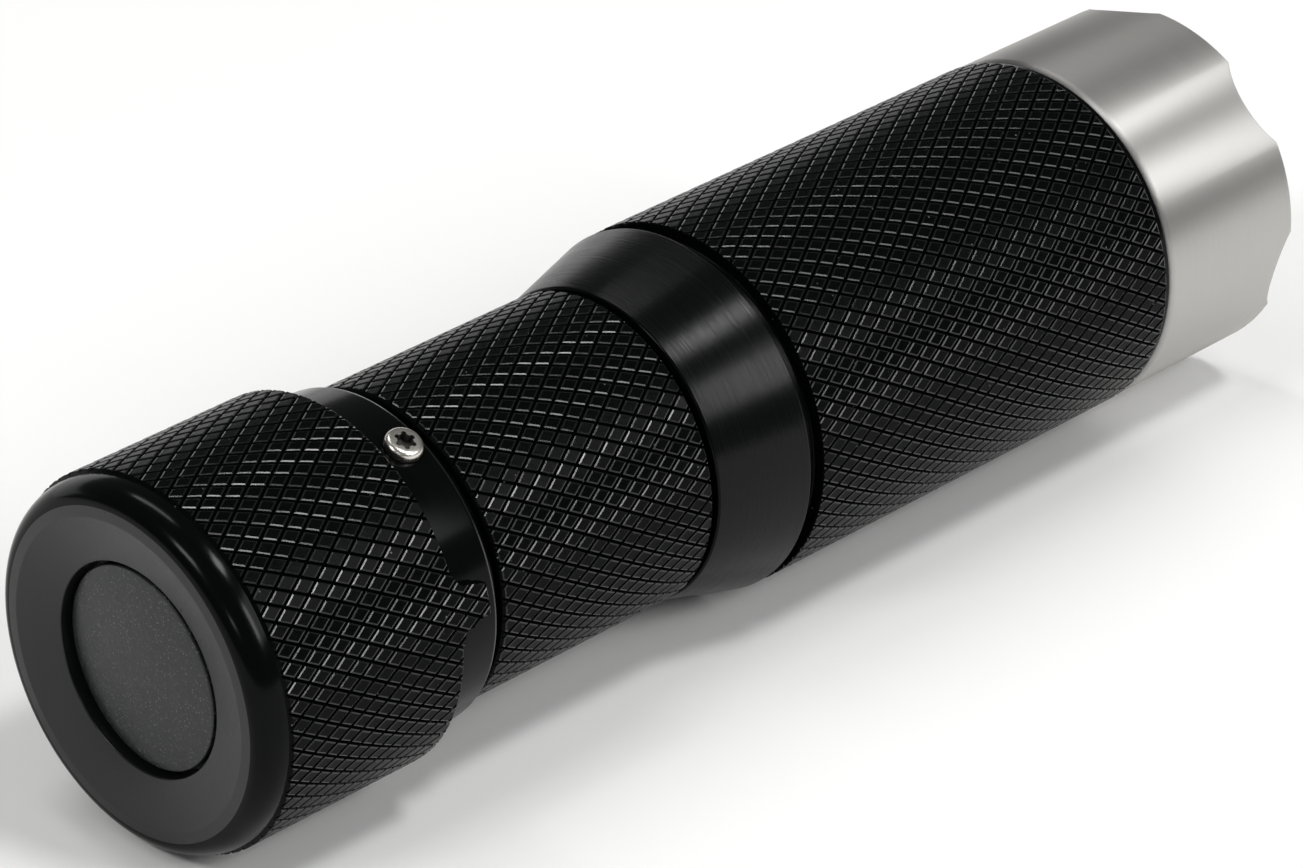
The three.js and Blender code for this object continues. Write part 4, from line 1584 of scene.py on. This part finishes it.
@dataclass
class LightEngine:
    """What shows through the bezel's mouth: lens, reflector and emitter."""

    lens_rear: float = 86.55
    lens_front: float = 88.35
    lens_radius: float = 10.07
    lens_edge: float = 0.2
    reflector_rear: float = 72.45
    reflector_front: float = 86.45
    throat: float = 3.0
    mouth: float = 9.07
    reflector_wall: float = 0.8
    reflector_steps: int = 24
    flange: float = 1.2
    flange_step: float = 0.02
    emitter_base: float = 71.95
    emitter_top: float = 71.85
    dome_radius: float = 1.5
    dome_steps: int = 10
    dome_sides: int = 64
    die_size: float = 1.7
    die_corner: float = 0.15
    die_corner_steps: int = 2
    phosphor_share: float = 0.8
    steps: int = 128

    def build(self, workshop: Workshop) -> list[tuple[bpy.types.Object, Finish, tuple[str, ...]]]:
        """Turns the lens, the reflector and the dome, and lays the phosphor plate under the dome.

        Args:
            workshop: Where they are made.

        Returns:
            Each piece with its finish and the nodes that it stands for.
        """
        lens = workshop.turned("front_lens", [
            Corner(self.lens_rear, 0.0),
            Corner(self.lens_rear, self.lens_radius, self.lens_edge),
            Corner(self.lens_front, self.lens_radius, self.lens_edge),
            Corner(self.lens_front, 0.0),
        ], self.steps)
        reflector = self._reflector(workshop)
        # The last corner of the dome lies on the axis itself
        arc = quarter_turn(self.dome_steps)[:-1]
        dome = workshop.turned("emitter_dome", [
            Corner(self.emitter_base, 0.0),
            *(
                Corner(
                    self.emitter_base + self.dome_radius * math.sin(turn),
                    self.dome_radius * math.cos(turn),
                )
                for turn in arc
            ),
            Corner(self.emitter_base + self.dome_radius, 0.0),
        ], self.dome_sides)
        for piece in (lens, reflector, dome):
            workshop.shade(piece)
        return [
            (lens, LENS_GLASS, ("lens",)),
            (reflector, BRIGHT_REFLECTOR, ("reflector",)),
            (dome, LED_SILICONE, ("led_dome",)),
            (self._phosphor(workshop), LED_PHOSPHOR, ()),
        ]

    def _reflector(self, workshop: Workshop) -> bpy.types.Object:
        """Turns the reflector, a paraboloid from the throat to a flange under the lens.

        Args:
            workshop: Where it is made.

        Returns:
            The reflector.
        """
        depth = self.reflector_front - self.reflector_rear
        inside = []
        for step in range(self.reflector_steps + 1):
            share = (step / self.reflector_steps) ** 2
            square = self.throat ** 2 + (self.mouth ** 2 - self.throat ** 2) * share
            inside.append(Corner(self.reflector_rear + depth * share, math.sqrt(square)))
        flange = self.reflector_front - self.flange
        outside = [
            Corner(corner.station, corner.radius + self.reflector_wall)
            for corner in inside if corner.station < flange
        ]
        return workshop.turned("parabolic_reflector", [
            *outside,
            Corner(flange, outside[-1].radius + self.flange_step),
            Corner(flange, self.lens_radius),
            Corner(self.reflector_front, self.lens_radius),
            *reversed(inside),
        ], self.steps)

    def _phosphor(self, workshop: Workshop) -> bpy.types.Object:
        """Lays a thin square plate on the emitter, with its corners cut.

        Args:
            workshop: Where it is made.

        Returns:
            The plate.
        """
        workshop.lay_down_all()
        thickness = self.phosphor_share * (self.emitter_base - self.emitter_top)
        bpy.ops.mesh.primitive_cube_add(
            size=MM,
            location=AXIS.point((self.emitter_base + self.emitter_top) / 2),
            scale=(thickness, self.die_size, self.die_size),
        )
        plate = bpy.context.object
        plate.name = "emitter_phosphor"
        workshop.settle(plate)
        workshop.open_up(plate, MeshPart.EDGE)
        choose(plate, MeshPart.EDGE, lambda edge: axial_run(edge) > thickness * MM / 2)
        bpy.ops.mesh.bevel(offset=self.die_corner * MM, segments=self.die_corner_steps)
        workshop.lay_down_all()
        return plate

    def dress(self, made: Iterable[tuple[bpy.types.Object, Finish, tuple[str, ...]]]) -> None:
        """Gives each piece its finish on the head."""
        for piece, finish, nodes in made:
            dress(piece, "head", finish, *nodes)


@dataclass
class SealRings:
    """The rubber rings that show when the head is screwed off or through the lens."""

    head_station: float = sum(BatteryTube.head_seal_groove[:2]) / 2
    head_radius: float = 9.6
    head_section: float = 0.8
    lens_station: float = (LightEngine.lens_front + StrikeBezel.lip_rear) / 2
    lens_radius: float = 9.545
    lens_section: float = 0.85
    section_steps: int = 16
    steps: int = 96
    shading: float = 60.0

    def build(self, workshop: Workshop) -> list[tuple[bpy.types.Object, str, str]]:
        """Turns both rings.

        Args:
            workshop: Where they are made.

        Returns:
            Each ring with its body and its node.
        """
        head = (self.head_station, self.head_radius, self.head_section)
        lens = (self.lens_station, self.lens_radius, self.lens_section)
        rings = [
            ("head_seal_ring", head, "battery_tube", "head_seal"),
            ("lens_seal_ring", lens, "head", "lens_seal"),
        ]
        made = []
        for name, (station, radius, section), body, node in rings:
            turns = [2 * math.pi * step / self.section_steps for step in range(self.section_steps)]
            ring = workshop.turned(name, [
                Corner(station + section / 2 * math.cos(turn), radius + section / 2 * math.sin(turn))
                for turn in turns
            ], self.steps)
            workshop.shade(ring, self.shading)
            made.append((ring, body, node))
        return made

    def dress(self, made: Iterable[tuple[bpy.types.Object, str, str]]) -> None:
        """Gives the rings their rubber."""
        for ring, body, node in made:
            dress(ring, body, SEAL_RUBBER, node)


@dataclass
class InnerPieces:
    """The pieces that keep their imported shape: what is held inside the body."""

    finishes: tuple[tuple[Finish, tuple[str, ...]], ...] = (
        (SEAL_RUBBER, ("cap_seal", "bezel_seal")),
        (SCREW_STEEL, (
            "cap_snap_ring", "tail_spring", "dial_magnet", "led_board_screw_1", "led_board_screw_2",
        )),
        (WHITE_PLASTIC, ("led_centring_ring", "contact_insulator")),
        (LED_CERAMIC, ("led_package", "led_board", "driver_capacitor")),
        (SINK_ALUMINIUM, ("heat_sink",)),
        (RED_PLASTIC, ("switch_plunger", "led_wire_1")),
        (BLACK_PLASTIC, (
            "switch_housing", "dial_sensor", "button_retainer", "driver_chip", "cell_gasket", "led_wire_2",
        )),
        (CIRCUIT_BOARD, ("tail_board", "driver_board")),
        (CONTACT_BRASS, ("tail_board_retainer", "driver_ring", "head_contact")),
        (PRESSED_FERRITE, ("driver_inductor",)),
        (CELL_NICKEL, ("cell_can", "cell_nub")),
        (CELL_SLEEVE, ("cell_wrap",)),
    )

    def dress(self) -> None:
        """Puts each finish on its nodes."""
        for finish, nodes in self.finishes:
            for node in nodes:
                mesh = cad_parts[node].data
                mesh.materials.clear()
                mesh.materials.append(finish.material())
                log.info("%s: packed shape, %s", node, finish.name)


# Studio


def towards(azimuth: float, elevation: float) -> Vector:
    """Returns the direction at an azimuth, from +X towards +Y, and an elevation, both in degrees."""
    turn, rise = math.radians(azimuth), math.radians(elevation)
    return Vector((math.cos(turn) * math.cos(rise), math.sin(turn) * math.cos(rise), math.sin(rise)))


def set_up(data: bpy.types.Light | bpy.types.Camera, place: Vector, back: Vector) -> bpy.types.Object:
    """Puts a lamp or a camera into the scene, under its own name.

    Args:
        data: The lamp or the camera.
        place: Where it stands, in metres.
        back: The direction straight behind it.

    Returns:
        The object that carries it.
    """
    made = bpy.data.objects.new(data.name, data)
    bpy.context.scene.collection.objects.link(made)
    made.location = place
    made.rotation_euler = back.to_track_quat("Z", "Y").to_euler()
    return made


@dataclass(frozen=True)
class Softbox:
    """A soft lamp that faces the flashlight from a direction, sizes in metres."""

    name: str
    azimuth: float
    elevation: float
    distance: float
    width: float
    height: float
    radiance: float
    mirrored: bool = True

    def place(self, target: Vector) -> None:
        """Hangs the lamp so that it faces a point.

        Args:
            target: The point, in metres.
        """
        data = bpy.data.lights.new(self.name, "AREA")
        data.shape = "RECTANGLE"
        data.size = self.width
        data.size_y = self.height
        # A flat lamp that shines by the cosine law sends out pi times its radiance and its area
        data.energy = self.radiance * math.pi * self.width * self.height
        away = towards(self.azimuth, self.elevation)
        lamp = set_up(data, target + away * self.distance, away)
        lamp.visible_glossy = self.mirrored


@dataclass(frozen=True)
class FloorPaper:
    """Pale paper without any sheen, so that the floor shows soft shadows and nothing else."""

    colour: str = "#fcfcfb"
    roughness: float = 0.9

    def material(self) -> bpy.types.Material:
        """Makes the paper's material.

        Returns:
            The material.
        """
        made = bpy.data.materials.new("pale_floor_paper")
        made.use_nodes = True
        feed(made.node_tree, made.node_tree.nodes["Principled BSDF"], {
            "Base Color": linear(self.colour),
            "Roughness": self.roughness,
            "Specular IOR Level": 0.0,
        })
        return made


@dataclass
class Studio:
    """A pale floor, soft lamps and the camera of the product shot."""

    camera_azimuth: float = -135.58
    camera_elevation: float = 28.73
    tail_to_lens: tuple[float, float, float] = (-196.3, -235.4, 183.3)
    focal_length: float = 164.3
    sensor_width: float = 36.0
    nearest_sight: float = 0.01
    floor_size: float = 4.0
    paper: FloorPaper = FloorPaper()
    surround: float = 0.14
    surround_colour: str = "#ffffff"
    lit_station: float = 45.0
    # Each lamp's name, azimuth, elevation, distance, width, height and radiance
    softboxes: tuple[Softbox, ...] = (
        Softbox("back_fill", 140.0, 55.0, 1.5, 1.4, 1.4, 0.76, mirrored=False),
        Softbox("low_front", -62.0, 33.0, 1.0, 0.6, 0.4, 3.4),
        Softbox("glint_strip", -77.0, 34.0, 1.0, 0.14, 0.34, 13.0),
        Softbox("high_front", -57.0, 66.0, 1.0, 0.24, 0.18, 23.0),
        Softbox("tail_side", -142.0, 26.0, 1.0, 0.15, 0.08, 8.0),
        Softbox("rear_high", 178.0, 44.0, 1.0, 0.25, 0.16, 16.0),
        Softbox("groove_strip", 88.0, 64.0, 1.0, 0.1, 0.5, 9.0),
        Softbox("back_wall", 72.0, 7.0, 1.2, 1.9, 0.4, 1.1),
    )

    def build(self) -> None:
        """Sets up the camera, the floor, the lamps and the dim surround."""
        self._camera()
        self._floor()
        target = AXIS.point(self.lit_station)
        for softbox in self.softboxes:
            softbox.place(target)
        scene = bpy.context.scene
        scene.view_settings.view_transform = "Standard"
        world = bpy.data.worlds.new("studio")
        world.use_nodes = True
        feed(world.node_tree, world.node_tree.nodes["Background"], {
            "Color": linear(self.surround_colour),
            "Strength": self.surround,
        })
        scene.world = world

    def _camera(self) -> None:
        """Puts the camera where the photographer's stood."""
        data = bpy.data.cameras.new("product_camera")
        data.lens = self.focal_length
        data.sensor_fit = "HORIZONTAL"
        data.sensor_width = self.sensor_width
        data.clip_start = self.nearest_sight
        place = AXIS.point(0.0) + Vector(self.tail_to_lens) * MM
        back = towards(self.camera_azimuth, self.camera_elevation)
        bpy.context.scene.camera = set_up(data, place, back)

    def _floor(self) -> None:
        """Lays the pale floor under the flashlight."""
        Workshop.lay_down_all()
        bpy.ops.mesh.primitive_plane_add(size=self.floor_size)
        floor = bpy.context.object
        floor.name = "pale_floor"
        floor.data.materials.append(self.paper.material())


def clear_stage() -> None:
    """Takes out whatever Blender starts with: the lamp, the camera and the cube."""
    for name in ("Cube", "Light", "Camera"):
        found = bpy.data.objects.get(name)
        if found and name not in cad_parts:
            bpy.data.objects.remove(found)


def main() -> None:
    """Sets the studio up, builds the sub-assemblies in order and dresses them."""
    logging.basicConfig(level=logging.INFO, format="%(name)s: %(message)s")
    clear_stage()
    Studio().build()
    workshop = Workshop(AXIS)
    for part in (
        TailCap(),
        PushButton(),
        BatteryTube(),
        StopScrew(),
        HeadShell(),
        StrikeBezel(),
        LightEngine(),
        SealRings(),
    ):
        part.dress(part.build(workshop))
    InnerPieces().dress()
    Workshop.lay_down_all()


if __name__ == "__main__":
    main()
